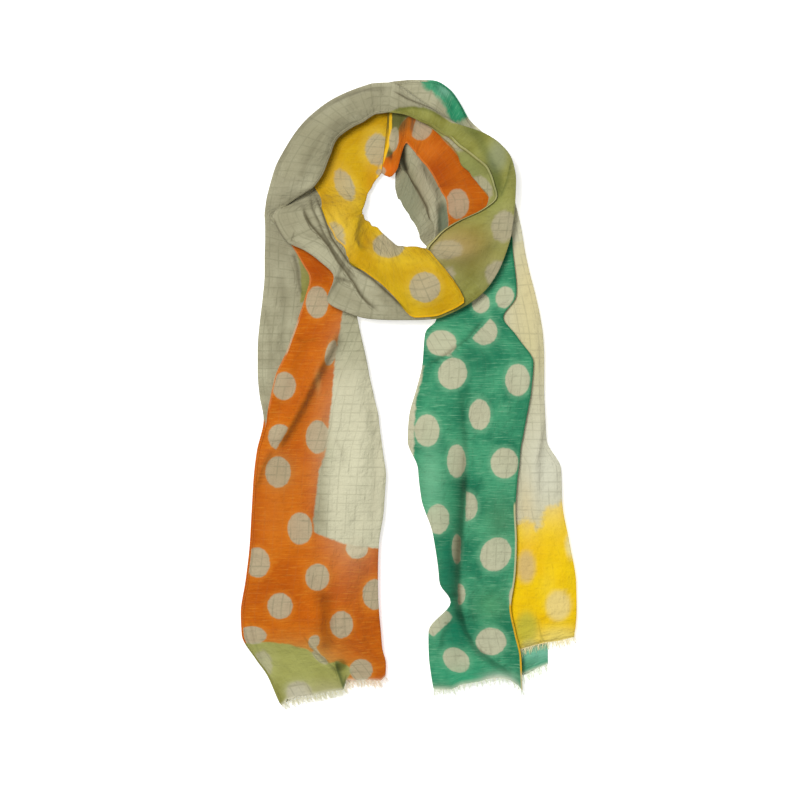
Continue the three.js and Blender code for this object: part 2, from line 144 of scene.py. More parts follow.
SECTIONS = {
    Region.LEFT_TAIL: (
        (281, 699, 384, 676, 0, 0, 1, 84, 7, 100, 107, 3),
        (269, 679, 384, 663, 0, 0, 3, 90, 6, 110, 118, 3),
        (255, 660, 382.5, 650, 0, 0, 5, 96, 6, 121, 128, 3),
        (241, 636, 381.5, 632, 0, 0, 7, 104, 6, 134, 140, 3),
        (240, 613, 379, 610, 0, 0, 8, 100, 8, 130, 139, 3),
        (245, 580, 378, 578, 0, 0, 9, 98, 6, 126, 133, 3),
        (249, 545, 379.5, 544, 0, 0, 9, 98, 5, 124, 130, 3),
        (251, 510, 384, 510, 0, 0, 8, 98, 6, 124, 133, 3),
        (253, 478, 386, 480, 0, 0, 8, 96, 8, 126, 133, 3),
        (256, 452, 383, 452, 0, 0, 8, 92, 8, 120, 127, 3),
        (263, 420, 379, 420, 0, 0, 7, 84, 6, 108, 116, 4),
    ),
    Region.LEFT_BAND: (
        (259, 396, 374, 396, 0, 0, 6, 84, 6, 108, 115, 12),
        (257, 372, 369, 373, 0, 0, 5, 82, 6, 104, 112, 20),
        (257, 348, 364, 348, 0, 0, 3, 78, 6, 99, 107, 31),
        (259, 323, 358, 321, 0, 0, 1, 72, 6, 92, 99, 38),
        (262, 298, 354, 298, 0, 0, 0, 66, 6, 84, 92, 43),
        (264, 274, 346, 282, 0, 0, 0, 58, 5, 74, 82, 46),
        (264, 256, 330, 268, 0, 0, 0, 50, 5, 62, 66, 39),
        (264.5, 241, 310, 252, 0, 0, 0, 38, 4, 46, 46, 30),
        (264.5, 228, 300, 238, 0, 0, 0, 28, 4, 34, 30, 20),
        (264, 215, 290, 219, 3, 3, 0, 18, 3, 21, 10, 4.5),
        (265, 207, 292, 209, 7, 8, 0, 11, 3, 14, 18, 16),
        (266.5, 198, 300, 199, 10, 13, 1, 22, 3, 26, 30, 28),
        (270, 184, 314, 187, 9, 16.5, 3, 33, 3, 36, 45, 43),
    ),
    Region.UPPER_BAND: (
        (275, 167, 326, 172, 6, 16, 6, 40, 4, 45, 50, 48),
        (286, 146, 331, 156, 5, 16, 8, 36, 4, 41, 46, 44),
        (304, 121, 339, 139, 5, 16, 8, 30, 4, 34, 39, 37),
        (334, 98, 359, 125, 8, 16, 8, 28, 4, 32, 37, 35),
        (361, 87, 370, 119, 12, 16, 7, 28, 4, 29, 33, 31),
        (375, 83.5, 376, 116, 15, 16, 5, 28, 4, 28, 32, 30),
        (391, 83, 379.5, 172, 16, 16, 3, 29, 4, 27, 31, 29),
        (395, 84.6, 381.5, 175, 16, 16, 3, 89, 4, 26, 29.5, 27.5),
        (398, 86, 389.5, 177, 16, 16, 3, 91, 4, 25, 28.5, 26.5),
        (402, 88, 397.5, 170, 16, 16, 3, 80, 4, 23, 27, 25),
        (413, 96, 407, 142, 16, 16, 3, 47, 4, 19, 22, 20),
        (426, 105, 415, 152, 16, 16, 3, 48, 3, 18, 19, 17),
        (440, 114, 417, 156, 16, 16, 3, 47, 3, 17, 16, 14),
        (457, 124, 422.5, 164, 16, 16, 4, 51, 3, 20, 17, 15),
    ),
    Region.RIGHT_BAND: (
        (481, 132, 429.5, 173.5, 16, 16, 6, 64, 3, 32, 27, 25),
        (500, 144, 437, 183.5, 16, 16, 7, 74, 4, 44, 30, 28),
        (512, 160, 439, 186.5, 16, 16, 7, 78, 4, 44, 28, 26),
        (516, 180, 440.5, 189.5, 16, 16, 6, 76, 4, 38, 25, 23),
        (515.5, 196, 446, 200, 16, 16, 4, 69, 4, 27, 21, 19),
        (514.5, 210, 446, 210, 16, 16, 4, 67, 4, 30, 33, 31),
        (513, 223, 442, 224, 16, 15, 5, 64, 4, 50, 60, 58),
        (511, 236, 434, 237, 16, 15, 6, 64, 4, 66, 75, 73),
        (507, 250, 426.5, 247, 16, 14, 7, 64, 4, 73, 80.5, 78),
        (500, 268, 426.5, 249, 16, 14, 8, 62, 4, 69, 76, 74),
        (490, 285, 425.5, 248.5, 16, 13, 8, 60, 4, 67, 74, 71),
    ),
    Region.FRONT_LOOP: (
        (480, 296, 423, 248, 16, 13, 8, 60, 4, 68, 74, 60),
        (466, 306, 417, 247, 16, 12, 8, 60, 4, 70, 77, 4),
        (450, 314, 411, 246.5, 16, 11, 8, 60, 4, 71, 78, 3),
        (434, 319.5, 404, 246, 16, 10, 8, 62, 4, 72, 79, 3),
        (415, 320.5, 397, 245.5, 16, 10, 8, 60, 4, 70, 77, 3),
        (395, 320.5, 391, 241, 16, 10, 8, 62, 4, 72, 80, 24),
        (371, 319.5, 384, 234, 16, 10, 8, 66, 4, 79, 86, 39),
        (347, 313, 377, 227, 16, 9, 7, 70, 4, 84, 91, 45),
        (327, 300, 371, 223, 16, 8, 7, 66, 4, 80, 88, 45),
        (334, 278, 364.5, 217.5, 16, 8, 7, 50, 4, 60, 67.5, 28),
        (320, 262, 362.5, 214, 16, 8, 7, 46, 4, 56, 64, 27),
        (304, 250.5, 363, 212, 16, 8, 7, 54, 4, 64, 70, 34),
    ),
    Region.LEFT_INNER: (
        (288, 243, 364, 208, 16, 8, 7, 64, 4, 76, 83, 44),
        (278, 230, 365, 205, 16, 7, 6, 70, 4, 83, 90, 49),
        (273, 216, 366, 201, 14, 6, 5, 74, 4, 87, 94, 50),
        (283, 203, 367, 197, 7.5, 4, 3, 65, 4, 77, 84, 39),
        (297, 192.5, 369, 191, 2, 1, 1, 54, 4, 64, 72, 21),
        (303, 182, 373, 184, 0, 0, 0, 51, 4, 61, 70, 10),
        (306, 168, 384, 168, 0, 0, 0, 56, 4, 69, 78, 6),
        (315, 147, 387, 150, 0, 0, 0, 54, 4, 63, 72, 6),
        (330, 126, 390.5, 131, 0, 0, 0, 46, 4, 54, 60, 6),
    ),
    Region.UNDER_TURN: (
        (349, 109, 390.5, 113.5, 0, 0, 0, 30, 4, 35, 41, 5),
        (358, 102, 385, 109, 0, 0, 0, 20, 4, 23, 27, 5),
        (366, 97, 378, 106.5, 0, 0, 0, 12, 4, 14, 15, 5),
        (377, 86, 381, 101.5, 0, 0, 0, 11, 4, 12, 16, 6),
        (391, 80.5, 391.5, 100, 0, 0, 0, 14, 4, 19, 16, 5),
        (404, 79, 395, 186, 0, 0, 0, 60, 4, 107, 79, 4),
        (412, 78.5, 396, 192, 0, 0, 0, 70, 4, 114, 87, 3),
        (433, 79, 398.5, 199, 0, 0, 0, 80, 4, 124, 97, 3),
        (450, 88, 401.5, 205, 0, 0, 0, 84, 4, 125, 101, 3),
        (461, 103, 405, 211, 0, 0, 0, 84, 4, 120, 98, 3),
        (470, 119, 409, 217, 0, 0, 0, 80, 4, 114, 94, 4),
        (484, 132, 413, 223, 0, 0, 0, 80, 4, 114, 96, 6),
        (497, 147, 417, 229, 0, 0, 0, 80, 5, 114, 98, 8),
        (507, 165, 419, 235, 0, 0, 0, 78, 6, 112, 94, 9),
        (512, 187, 421, 240, 0, 0, 0, 76, 8, 105, 90, 10),
        (518, 210, 424, 247, 0, 0, 0, 72, 10, 98, 92, 10),
        (522.5, 231, 427, 256, 0, 0, 0, 70, 12, 92, 95, 11),
    ),
    Region.RIGHT_TAIL: (
        (525.5, 250, 430, 268, 0, 0, 0, 70, 13, 90, 97, 13),
        (530, 271, 432.5, 283, 0, 0, 0, 72, 14, 90, 98, 15),
        (536, 294, 434.5, 302, 0, 0, 0, 74, 15, 94, 102, 20),
        (541, 317, 436, 319.5, 0, 0, 0, 76, 15, 97, 105, 38),
        (544, 338, 425, 333, 0, 0, 3, 84, 14, 110, 119, 27),
        (545, 362, 421.5, 366, 0, 0, 6, 88, 12, 114, 123, 12),
        (545, 390, 415.5, 390, 0, 0, 8, 92, 12, 120, 129, 14),
        (546, 418, 408.5, 416, 0, 0, 8, 96, 12, 127, 137, 20),
        (547.5, 441, 407.5, 441, 0, 0, 8, 98, 12, 130, 140, 26),
        (562, 470, 417.5, 470, 0, 0, 9, 104, 20, 134, 144, 44),
        (563, 503, 420.5, 498, 0, 0, 9, 102, 20, 133, 142, 48),
        (570, 542, 433, 536, 0, 0, 9, 100, 22, 128, 137, 54),
        (577, 583, 438.5, 580, 0, 0, 8, 102, 26, 130, 138, 63),
        (577.5, 610, 450, 603, 0, 0, 7, 96, 28, 121, 127, 67),
        (576.5, 634, 428, 632, 0, 0, 6, 108, 28, 140, 148, 61, 8),
        (576, 656, 428.5, 660, 0, 0, 4, 108, 27, 140, 147, 55, 22),
        (576.5, 682, 433, 686, 0, 0, 1, 104, 27, 136, 143, 54, 42),
    ),
}


def colour(red: int, green: int, blue: int) -> Colour:
    """A linear colour from its everyday form.

    Args:
        red: The red part, from 0 to 255.
        green: The green part.
        blue: The blue part.

    Returns:
        The linear colour, opaque.
    """

    def linear(value: int) -> float:
        """One channel."""
        c = value / 255
        return c / 12.92 if c <= 0.04045 else ((c + 0.055) / 1.055) ** 2.4

    return (linear(red), linear(green), linear(blue), 1.0)


def smooth(value: Grid) -> Grid:
    """A smooth step from 0 to 1."""
    t = np.clip(value, 0.0, 1.0)
    return t * t * (3.0 - 2.0 * t)


def line_distance(x: Grid, y: Grid, line: Line) -> tuple[Grid, Grid]:
    """Distance to an open line, and how far along it the nearest point lies.

    Args:
        x: Drawing x of each point.
        y: Drawing y of each point.
        line: The line's corners.

    Returns:
        The distance, positive on the line's right side, and the share of its length.
    """
    best = np.full(x.shape, 1e9)
    side = np.ones(x.shape)
    share = np.zeros(x.shape)
    lengths = [math.dist(a, b) for a, b in zip(line, line[1:])]
    total = sum(lengths)
    done = 0.0
    for (ax, ay), (bx, by), length in zip(line, line[1:], lengths):
        dx, dy = (bx - ax) / length, (by - ay) / length
        along = np.clip((x - ax) * dx + (y - ay) * dy, 0.0, length)
        away = np.hypot(x - ax - along * dx, y - ay - along * dy)
        near = away < best
        cross = dx * (y - ay) - dy * (x - ax)
        best = np.where(near, away, best)
        side = np.where(near, np.where(cross < 0, -1.0, 1.0), side)
        share = np.where(near, (done + along) / total, share)
        done += length
    return best * side, share


def outline_distance(x: Grid, y: Grid, outline: Line) -> Grid:
    """Distance to a closed outline, positive inside it.

    Args:
        x: Drawing x of each point.
        y: Drawing y of each point.
        outline: The outline's corners.

    Returns:
        The signed distance in millimetres.
    """
    closed = outline + outline[:1]
    away = np.abs(line_distance(x, y, closed)[0])
    inside = np.zeros(x.shape, bool)
    for (ax, ay), (bx, by) in zip(closed, closed[1:]):
        if ay != by:
            crossing = ax + (y - ay) * (bx - ax) / (by - ay)
            inside ^= ((ay > y) != (by > y)) & (x < crossing)
    return np.where(inside, away, -away)


def entries(kind: Callable, table: dict[object, tuple]) -> tuple:
    """A table's rows as entries of one kind, each with the key it stands under."""
    return tuple(kind(key, *row) for key, rows in table.items() for row in rows)


@dataclass(frozen=True)
class Pleat:
    """A long fold of the upper layers along a line on the drawing.

    The cloth stands up by height along the line. It falls away within left on the side
    of smaller x of a line that runs down the drawing, and within right on the other
    side. Shade is painted into the cloth's colour at the foot of the steeper side, within
    reach, where light hardly reaches.
    """

    regions: tuple[Region, ...]
    line: Line
    height: float
    left: float
    right: float
    shade: float = 0.0
    reach: float = 3.0

    def near(self, region: Grid, x: Grid, y: Grid) -> Grid:
        """Which points lie near enough to be moved or shaded.

        Args:
            region: Region number of each point.
            x: Drawing x of each point.
            y: Drawing y of each point.

        Returns:
            True where they do.
        """
        reach = max(NEAR_PLEAT, NEAR_WIDTHS * max(self.left, self.right), NEAR_REACHES * self.reach)
        xs, ys = zip(*self.line)
        near = np.isin(region, self.regions)
        near &= (x > min(xs) - reach) & (x < max(xs) + reach)
        return near & (y > min(ys) - reach) & (y < max(ys) + reach)

    def relief(self, x: Grid, y: Grid) -> tuple[Grid, Grid, Grid]:
        """How the pleat moves and shades points.

        Args:
            x: Drawing x of each point.
            y: Drawing y of each point.

        Returns:
            The height, the distance to the foot in reaches, and the shade.
        """
        away, share = line_distance(x, y, self.line)
        width = np.where(away > 0, self.left, self.right)
        ends = smooth(share / PLEAT_TAPER) * smooth((1 - share) / PLEAT_TAPER)
        height = self.height * ends * np.exp(-((away / width) ** 2))
        start, inner = (0.0, 1.0) if self.height < 0 else (RIDGE_FOOT, RIDGE_SHARE)
        beyond = away * (1.0 if self.left < self.right else -1.0) - start
        foot = beyond / self.reach / np.where(beyond > 0, 1.0, inner)
        return height, foot, self.shade * ends * smooth((FAR_FOOT - np.abs(foot)) / FOOT_FADE)


# How far a pleat acts: at the least, in its widths, and in the reaches of its shade.
NEAR_PLEAT = 16.0
NEAR_WIDTHS = 2.6
NEAR_REACHES = 4.0
# The share of its length over which each end dies out.
PLEAT_TAPER = 0.14
# Where a ridge's foot starts beside its line, and how much faster it darkens inside.
RIDGE_FOOT = 1.2
RIDGE_SHARE = 0.4
# In reaches: where the shade has gone, and over what it goes. And its falling off.
FAR_FOOT = 2.6
FOOT_FADE = 0.9
FOOT_FALL = 0.3
# Neighbouring pleats take turns in a few channels, so that their shades keep apart.
CHANNELS = 3

PLEATS = entries(Pleat, {
    TAIL_A: (
        ((
            (340, 326), (330, 351), (318, 373), (307, 396), (292, 424), (274, 452),
        ), 7, 18, 3.4, 0.5, 7),
        (((309, 330), (301, 352), (287, 385), (268, 424)), -1.6, 6, 6, 0.12, 5),
        (((290, 336), (304, 344), (318, 340)), 1.6, 4, 4, 0.2, 2.4),
        (((272, 448), (262, 466), (254, 490)), 3, 7, 4, 0.3),
        (((333, 438), (340, 452), (342, 468)), 1.4, 5, 4, 0.14, 2.4),
        (((331, 400), (323, 455), (316, 500), (313, 540)), -1.4, 5, 5, 0.1, 4),
        (((352, 350), (360, 420), (356, 520)), 2, 10, 10),
        (((370, 390), (376, 450), (372, 530)), -1.6, 6, 6, 0.1, 4),
        (((285, 470), (270, 530), (262, 590)), 2.2, 12, 12),
        (((300, 560), (312, 600), (318, 634)), 3, 12, 10),
        (((324, 588), (326, 604), (327, 630), (329, 655)), -3, 6, 6, 0.4, 7),
        (((340, 560), (350, 610), (352, 650)), 2.2, 10, 10),
        (((247, 618), (252, 640), (262, 668)), 1.6, 4, 3, 0.2, 2),
        (((303, 632), (314, 648), (331, 663), (340, 672)), 2.6, 3, 8, 0.3, 1.6),
        (((334, 660), (336, 669), (340, 678), (345, 690)), 3.4, 8, 3, 0.75),
        (((262, 300), (268, 340), (266, 392)), 2.2, 6, 5, 0.15),
        (((281, 268), (284, 310), (280, 360)), -1.8, 4, 4, 0.2, 4),
        (((292, 250), (297, 266), (299, 284), (302, 297)), -1.6, 3, 3, 0.5, 2),
    ),
    TAIL_B: (
        (((466, 384), (464, 404), (467, 440), (466, 496)), 5, 3.4, 18, 0.42, 7),
        ((
            (467, 466), (464, 510), (460, 560), (459, 590), (461, 612), (468, 632),
        ), 6, 3.4, 18, 0.85, 8),
        ((
            (460, 604), (467, 630), (476, 646), (490, 658), (504, 669), (514, 678),
        ), 4.5, 3.4, 13, 0.5, 5),
        (((446, 400), (440, 450), (438, 520), (443, 580)), 2.6, 10, 7),
        (((460, 610), (448, 620), (441, 634), (438, 652)), 2.2, 7, 4, 0.25, 4),
        (((440, 592), (450, 597), (459, 594)), -2.4, 3, 3, 0.4, 2.5),
        (((487, 318), (468, 341), (446, 357), (424, 369)), 3.2, 3.4, 12, 0.5),
        (((497, 400), (497, 470), (495, 560), (500, 615)), 2.4, 13, 13),
        (((425, 372), (419, 420), (424, 470), (432, 520)), 2, 5, 9),
        (((468, 384), (466, 396), (465, 410)), -2.4, 5, 5, 0.3, 5),
        (((545, 250), (536, 330), (541, 420), (536, 500)), 1.8, 6, 4, 0.1),
        (((548, 404), (541, 440), (534, 470)), 2.4, 5, 3, 0.2, 2),
        (((555, 470), (560, 520), (564, 600)), 1.6, 8, 8),
        (((534, 616), (539, 632), (544, 650)), 1.4, 4, 3, 0.35, 1.4),
    ),
    BAND: (
        (((276, 192), (279, 168), (294, 136), (328, 106), (362, 93), (396, 93)), 3, 9, 5, 0.26, 4),
        (((298, 190), (310, 160), (326, 134), (350, 118)), 2.2, 8, 5, 0.24, 4),
        (((330, 106), (350, 95), (372, 90), (398, 88)), -1, 3, 3, 0.16, 2),
        (((318, 160), (330, 136), (352, 118), (376, 112), (392, 109)), 0.6, 4, 4, 0.1, 2.5),
        (((390, 92), (408, 102), (432, 111), (452, 121)), 1.6, 3, 3, 0.7, 1.6),
        (((392, 112), (412, 108), (430, 111), (448, 122)), -1, 3, 3, 0.4, 2),
        (((464, 124), (480, 140), (490, 165), (498, 183), (495, 203)), -3.6, 6, 5, 0.4, 5),
        (((510, 158), (505, 181), (498, 199)), 2.6, 5, 5, 0.4, 2),
    ),
    BAND + LOOP: (
        (((436, 258), (456, 264), (478, 258), (504, 240)), -3, 9, 8, 0.3, 7),
        (((428, 243), (446, 234), (470, 228), (496, 214)), 2.4, 9, 5),
        (((448, 290), (466, 280), (488, 262)), 2.2, 8, 8),
    ),
    LOOP: (
        (((452, 298), (420, 306), (392, 290), (366, 266)), -2, 8, 8, 0.1, 5),
        ((
            (428, 258), (404, 262), (376, 257), (361, 253), (352, 244), (345, 228), (335, 205),
        ), 3.6, 11, 5),
        (((360, 214), (357, 228), (355.5, 241), (362, 255)), 3, 8, 3.4, 0.3, 3.4),
        ((
            (313, 187), (323, 209), (333, 238), (350, 262), (374, 279), (394, 297), (415, 317),
        ), 2, 3, 6, 0.85, 2),
        ((
            (311, 190), (314.5, 209), (320, 221), (325, 233), (335, 250), (347, 266),
            (362, 283),
        ), 2.2, 3.4, 6, 0.62, 2.4),
        ((
            (299, 201), (304, 216), (309, 226), (320, 238), (328, 248), (338, 265), (346, 275),
            (353, 285), (359, 296), (366, 304), (381, 315),
        ), 2.6, 6, 3.4, 0.82, 2.6),
        (((297, 236), (316, 256), (341, 273), (352, 282)), 2.6, 4, 4),
        (((290, 248), (294, 240), (297, 232)), 1.6, 3, 3, 0.5, 1.4),
        (((273, 217), (278, 229), (289, 247)), -1.2, 3, 3, 0.55, 1.4),
        (((347, 278), (336, 281), (330, 290), (325, 300)), 2.4, 5, 3, 0.35, 2),
        (((334, 278), (344, 280), (352, 284)), -2.2, 3, 3, 0.5, 2),
        (((330, 302), (350, 310), (380, 318)), 1.6, 4, 4),
    ),
    TURN: (
        (((397, 96), (412, 101), (430, 110)), -1, 3, 3, 0.5, 2),
        ((
            (405, 140), (404, 162), (409, 177), (418, 190), (427, 207), (429.5, 222),
            (430, 244),
        ), -2.4, 3, 3, 0.85, 1.7),
        (((400, 178), (411, 195), (419, 212), (424, 232), (425, 246)), -2, 3.5, 3.5, 0.5, 2.4),
        (((420, 160), (430, 176), (439, 192), (442, 206), (441, 216)), -2, 3.5, 4, 0.4),
        (((438, 200), (439.5, 212), (440, 226), (438, 240)), -2, 3, 4, 0.5, 2),
        (((400, 143), (402, 158), (407, 172)), -3, 3, 3, 0.75, 3.2),
        (((432, 84), (443, 96), (452, 112)), 0.5, 4, 4, 0.3, 2),
    ),
})


@dataclass(frozen=True)
class DyeArea:
    """A dyed area of one zone, drawn round, and how softly its edge fades."""

    zone: Zone
    dye: Dye
    outline: Line
    softness: float = 1.0


# Edges that two dyed areas share.
LEFT_END_EDGE = (
    (200, 641), (248, 643.5), (268, 642), (289, 644.5), (307, 649.5), (320, 656.5), (329, 663),
    (337, 661), (353.5, 670), (346, 681), (346, 730), (200, 730),
)
FLAP_EDGE = (
    (390.6, 60), (390.6, 113), (390.4, 134), (388, 145), (384.6, 156), (381, 166), (377.5, 177),
)
INNER_EDGE = (
    (392, 154), (395, 147), (397.5, 140), (398.5, 127), (402.5, 121), (408, 116), (416, 113),
    (422, 115), (430, 121.5), (437, 130), (443, 139), (452, 148), (463, 161.5), (473, 175),
    (482, 188), (492, 200), (500, 216),
)

DYE_AREAS = entries(DyeArea, {
    Zone.LEFT_TOP: (
        (Dye.ORANGE, (
            (270, 240), (352, 240), (345, 300), (342, 314), (339, 335), (335, 355), (332, 398),
            (329, 422), (325, 455), (319, 470), (317, 490), (313, 519), (314.6, 533), (345, 544),
            (379, 549), (410, 551), (410, 740), (200, 740), (200, 420), (250, 400),
        )),
        (Dye.OLIVE, LEFT_END_EDGE),
    ),
    Zone.LEFT_SIDE: (
        (Dye.ORANGE, (
            (200, 424), (265, 420), (268, 500), (300, 545), (410, 549), (410, 740), (200, 740),
        )),
        (Dye.OLIVE, LEFT_END_EDGE),
        (Dye.OLIVE, (
            (293, 242), (303, 242), (313, 270), (308, 298), (300, 303), (301, 286), (300, 268),
        )),
    ),
    Zone.WRAP: (
        (Dye.OLIVE, (
            (388, 120), (388, 113.5), (400, 108.6), (412, 107.4), (427.5, 109.2), (440.5, 116.3),
            (451, 123.4), (468, 125.7), (482, 132.8), (500, 134), (560, 131), (560, 340),
            (432, 340), (424, 246), (380, 246),
        )),
    ),
    Zone.WRAP_LOW: ((Dye.OLIVE, ((388, 90), (560, 90), (560, 340), (432, 340), (380, 246))),),
    Zone.INNER: (
        (Dye.ORANGE, (
            (376, 190), (376, 180), (381, 166), (385, 156), *INNER_EDGE, (500, 262), (376, 262),
        )),
        (Dye.OLIVE, (
            *FLAP_EDGE[4::-1], (560, 60), (560, 262), (500, 262), *INNER_EDGE[::-1], (386, 158),
        )),
        (Dye.GOLD, ((340, 60), *FLAP_EDGE, (340, 190))),
    ),
    Zone.FLAP: (
        (Dye.ORANGE, (*FLAP_EDGE[4:], (374, 184), (396, 184), (396, 150))),
        (Dye.GOLD, (
            (240, 60), *FLAP_EDGE, (376, 185), (400, 200), (520, 200), (520, 360), (240, 360),
        )),
    ),
    Zone.LOWER: (
        (Dye.GOLD, ((300, 80), (387, 80), (391, 136), (300, 136))),
        (Dye.GREEN, (
            (419, 60), (420, 79), (424, 87), (433, 92), (441, 100), (446, 108), (449, 116),
            (455.5, 123), (462, 119), (480, 112), (480, 60),
        ), 0.45),
        (Dye.GREEN, (
            (470, 236), (516, 236), (600, 236), (600, 420), (380, 420), (380, 264), (450, 264),
        )),
    ),
    Zone.LOWER_SIDE: (
        (Dye.GREEN, ((424, 60), (428, 84), (462, 119), (480, 112), (480, 60)), 0.6),
    ),
    Zone.RIGHT_TOP: (
        (Dye.GREEN, (
            (380, 200), (600, 200), (600, 740), (412, 740), (412, 470), (414, 450), (414.5, 425),
            (416, 400), (421, 382), (424, 366), (380, 362),
        ), 0.8),
    ),
    Zone.RIGHT_SIDE: (
        (Dye.YELLOW, (
            (500, 530), (518, 524), (526, 519), (533, 522), (537, 530), (541, 527), (543, 514),
            (548, 507), (556, 506), (563, 502), (600, 502), (600, 740), (500, 740),
        ), 0.3),
    ),
    Zone.RIGHT_UNDER: (
        (Dye.GREEN, ((380, 560), (600, 560), (600, 740), (380, 740)), 0.5),
    ),
})


@dataclass(frozen=True)
class Dot:
    """A stone coloured dot left bare by the dye, in the plan of one zone.

    Crisp is 1 for a clear rim and less for a soft one. A cut hides the part on the left
    of the line from its first to its second point, where a fold covers it.
    """

    zone: Zone
    x: float
    y: float
    half_width: float
    half_height: float
    turn: float = 0.0
    crisp: float = 1.0
    cut: tuple[float, float, float, float] | None = None

    def rim(self, x: Grid, y: Grid) -> Grid:
        """Distance of points to the rim, negative inside it.

        Args:
            x: Drawing x of each point.
            y: Drawing y of each point.

        Returns:
            The distance in millimetres.
        """
        cos, sin = math.cos(math.radians(self.turn)), math.sin(math.radians(self.turn))
        across = ((x - self.x) * cos + (y - self.y) * sin) / self.half_width
        along = ((y - self.y) * cos - (x - self.x) * sin) / self.half_height
        away = (np.hypot(across, along) - 1) * (self.half_width + self.half_height) / 2
        if self.cut:
            ax, ay, bx, by = self.cut
            cross = (bx - ax) * (y - ay) - (by - ay) * (x - ax)
            away = np.maximum(away, -cross / math.hypot(bx - ax, by - ay))
        return away * self.crisp


DOTS = entries(Dot, {
    Zone.LEFT_TOP: (
        (317, 302, 11.4, 16), (284, 386, 12, 14),
        (280, 437, 12, 13, 0, 1, (295, 418, 271, 458)), (317.5, 437, 11.8, 16.6),
        (278, 472, 12.8, 15.5), (300, 528.4, 12.5, 16), (257.5, 562.6, 12.5, 15),
        (317.5, 577, 12, 13.4), (280, 606, 12.8, 13), (375, 594.7, 12.5, 15.2),
        (341.5, 624.5, 11.6, 13.6), (252, 635.5, 14.6, 9), (357, 547.5, 11.2, 11.5),
        (262, 665.5, 9.8, 14, 0, 0.4), (299, 693, 12.4, 11.5, 0, 0.5), (361, 670.5, 11.6, 11),
        (314, 641.5, 5.4, 7.2, 25), (316.5, 652, 2.4, 5, -35), (320, 658.5, 9.5, 3.6, 38),
        (331, 353, 5.4, 13, 14),
    ),
    Zone.RIGHT_TOP: (
        (481, 303, 9, 10), (505, 297, 9, 11, 20), (441.6, 343, 15, 13),
        (484, 331, 13.5, 14, 0, 1, (468, 342, 488, 321)), (452.6, 373.6, 14.4, 15.8, 20),
        (517.6, 380, 12.4, 16), (479.4, 414.5, 10.9, 15.3), (427, 430.5, 12.5, 16.2),
        (456.4, 461, 9.4, 16.6), (504.4, 463, 14, 15.2),
        (466.5, 506, 11, 14.4, 0, 1, (465, 525, 466, 490)), (438, 519, 11.4, 15.2),
        (457, 549, 5.2, 15, 0, 1, (461, 530, 460, 570)), (495.5, 554, 15, 17.4, 32),
        (458.5, 594, 6.8, 11, 0, 1, (458.2, 612, 457.8, 580)), (513.5, 597, 4.6, 10),
        (440, 624, 12.5, 14.5, 42, 1, (455.5, 616.5, 431, 639.5)), (491, 641.5, 15.4, 13.6),
        (456.4, 660.6, 14.6, 11.4, 38), (497, 686, 11, 7), (441, 696, 8, 5),
    ),
    Zone.FLAP: (
        (377.5, 149, 12.4, 16, 0, 0.5), (344.5, 185, 9, 17, -24, 0.5, (346, 160, 365, 204)),
        (337, 236.5, 8, 13, -14, 0.3), (388.5, 246, 15.8, 12.5, 0, 0.7),
        (379.3, 171.6, 3.2, 3.6), (424.7, 288, 15.4, 15, 0, 0.8),
    ),
    Zone.WRAP: (
        (503.4, 227, 12.4, 15.8, 12, 0.45), (447, 250.5, 15.6, 9.6, -6, 0.35),
        (496, 273.5, 11, 12.5, 30, 0.4), (450, 273.5, 4.6, 6, 0, 0.3),
    ),
    Zone.WRAP_LOW: (
        (483, 187, 7.5, 13, -34, 0.5), (453, 144, 5, 12, -52, 0.5),
    ),
    Zone.INNER: (
        (421, 127.5, 11.4, 12.6, 20, 1, (410, 141, 417, 115)), (394, 139, 4.8, 12.4, 6),
        (457.6, 203.6, 11.4, 15.2), (381.5, 171, 4.6, 4.6),
    ),
})


@dataclass(frozen=True)
class ToneAndShadingPatch:
    """A soft patch of another tone: where layers show through, where the dye ran, and in some places
    painted shade and painted highlights.
    """

    zone: Zone
    tone: Tone
    x: float
    y: float
    half_width: float
    half_height: float
    strength: float
    sharpness: float = 1.0

    def share(self, x: Grid, y: Grid) -> Grid:
        """How strongly the patch shows at points.

        Args:
            x: Drawing x of each point.
            y: Drawing y of each point.

        Returns:
            Its share, from 0 to 1.
        """
        dx = (x - self.x) / self.half_width
        dy = (y - self.y) / self.half_height
        return self.strength * np.exp(-((dx * dx + dy * dy) ** self.sharpness))


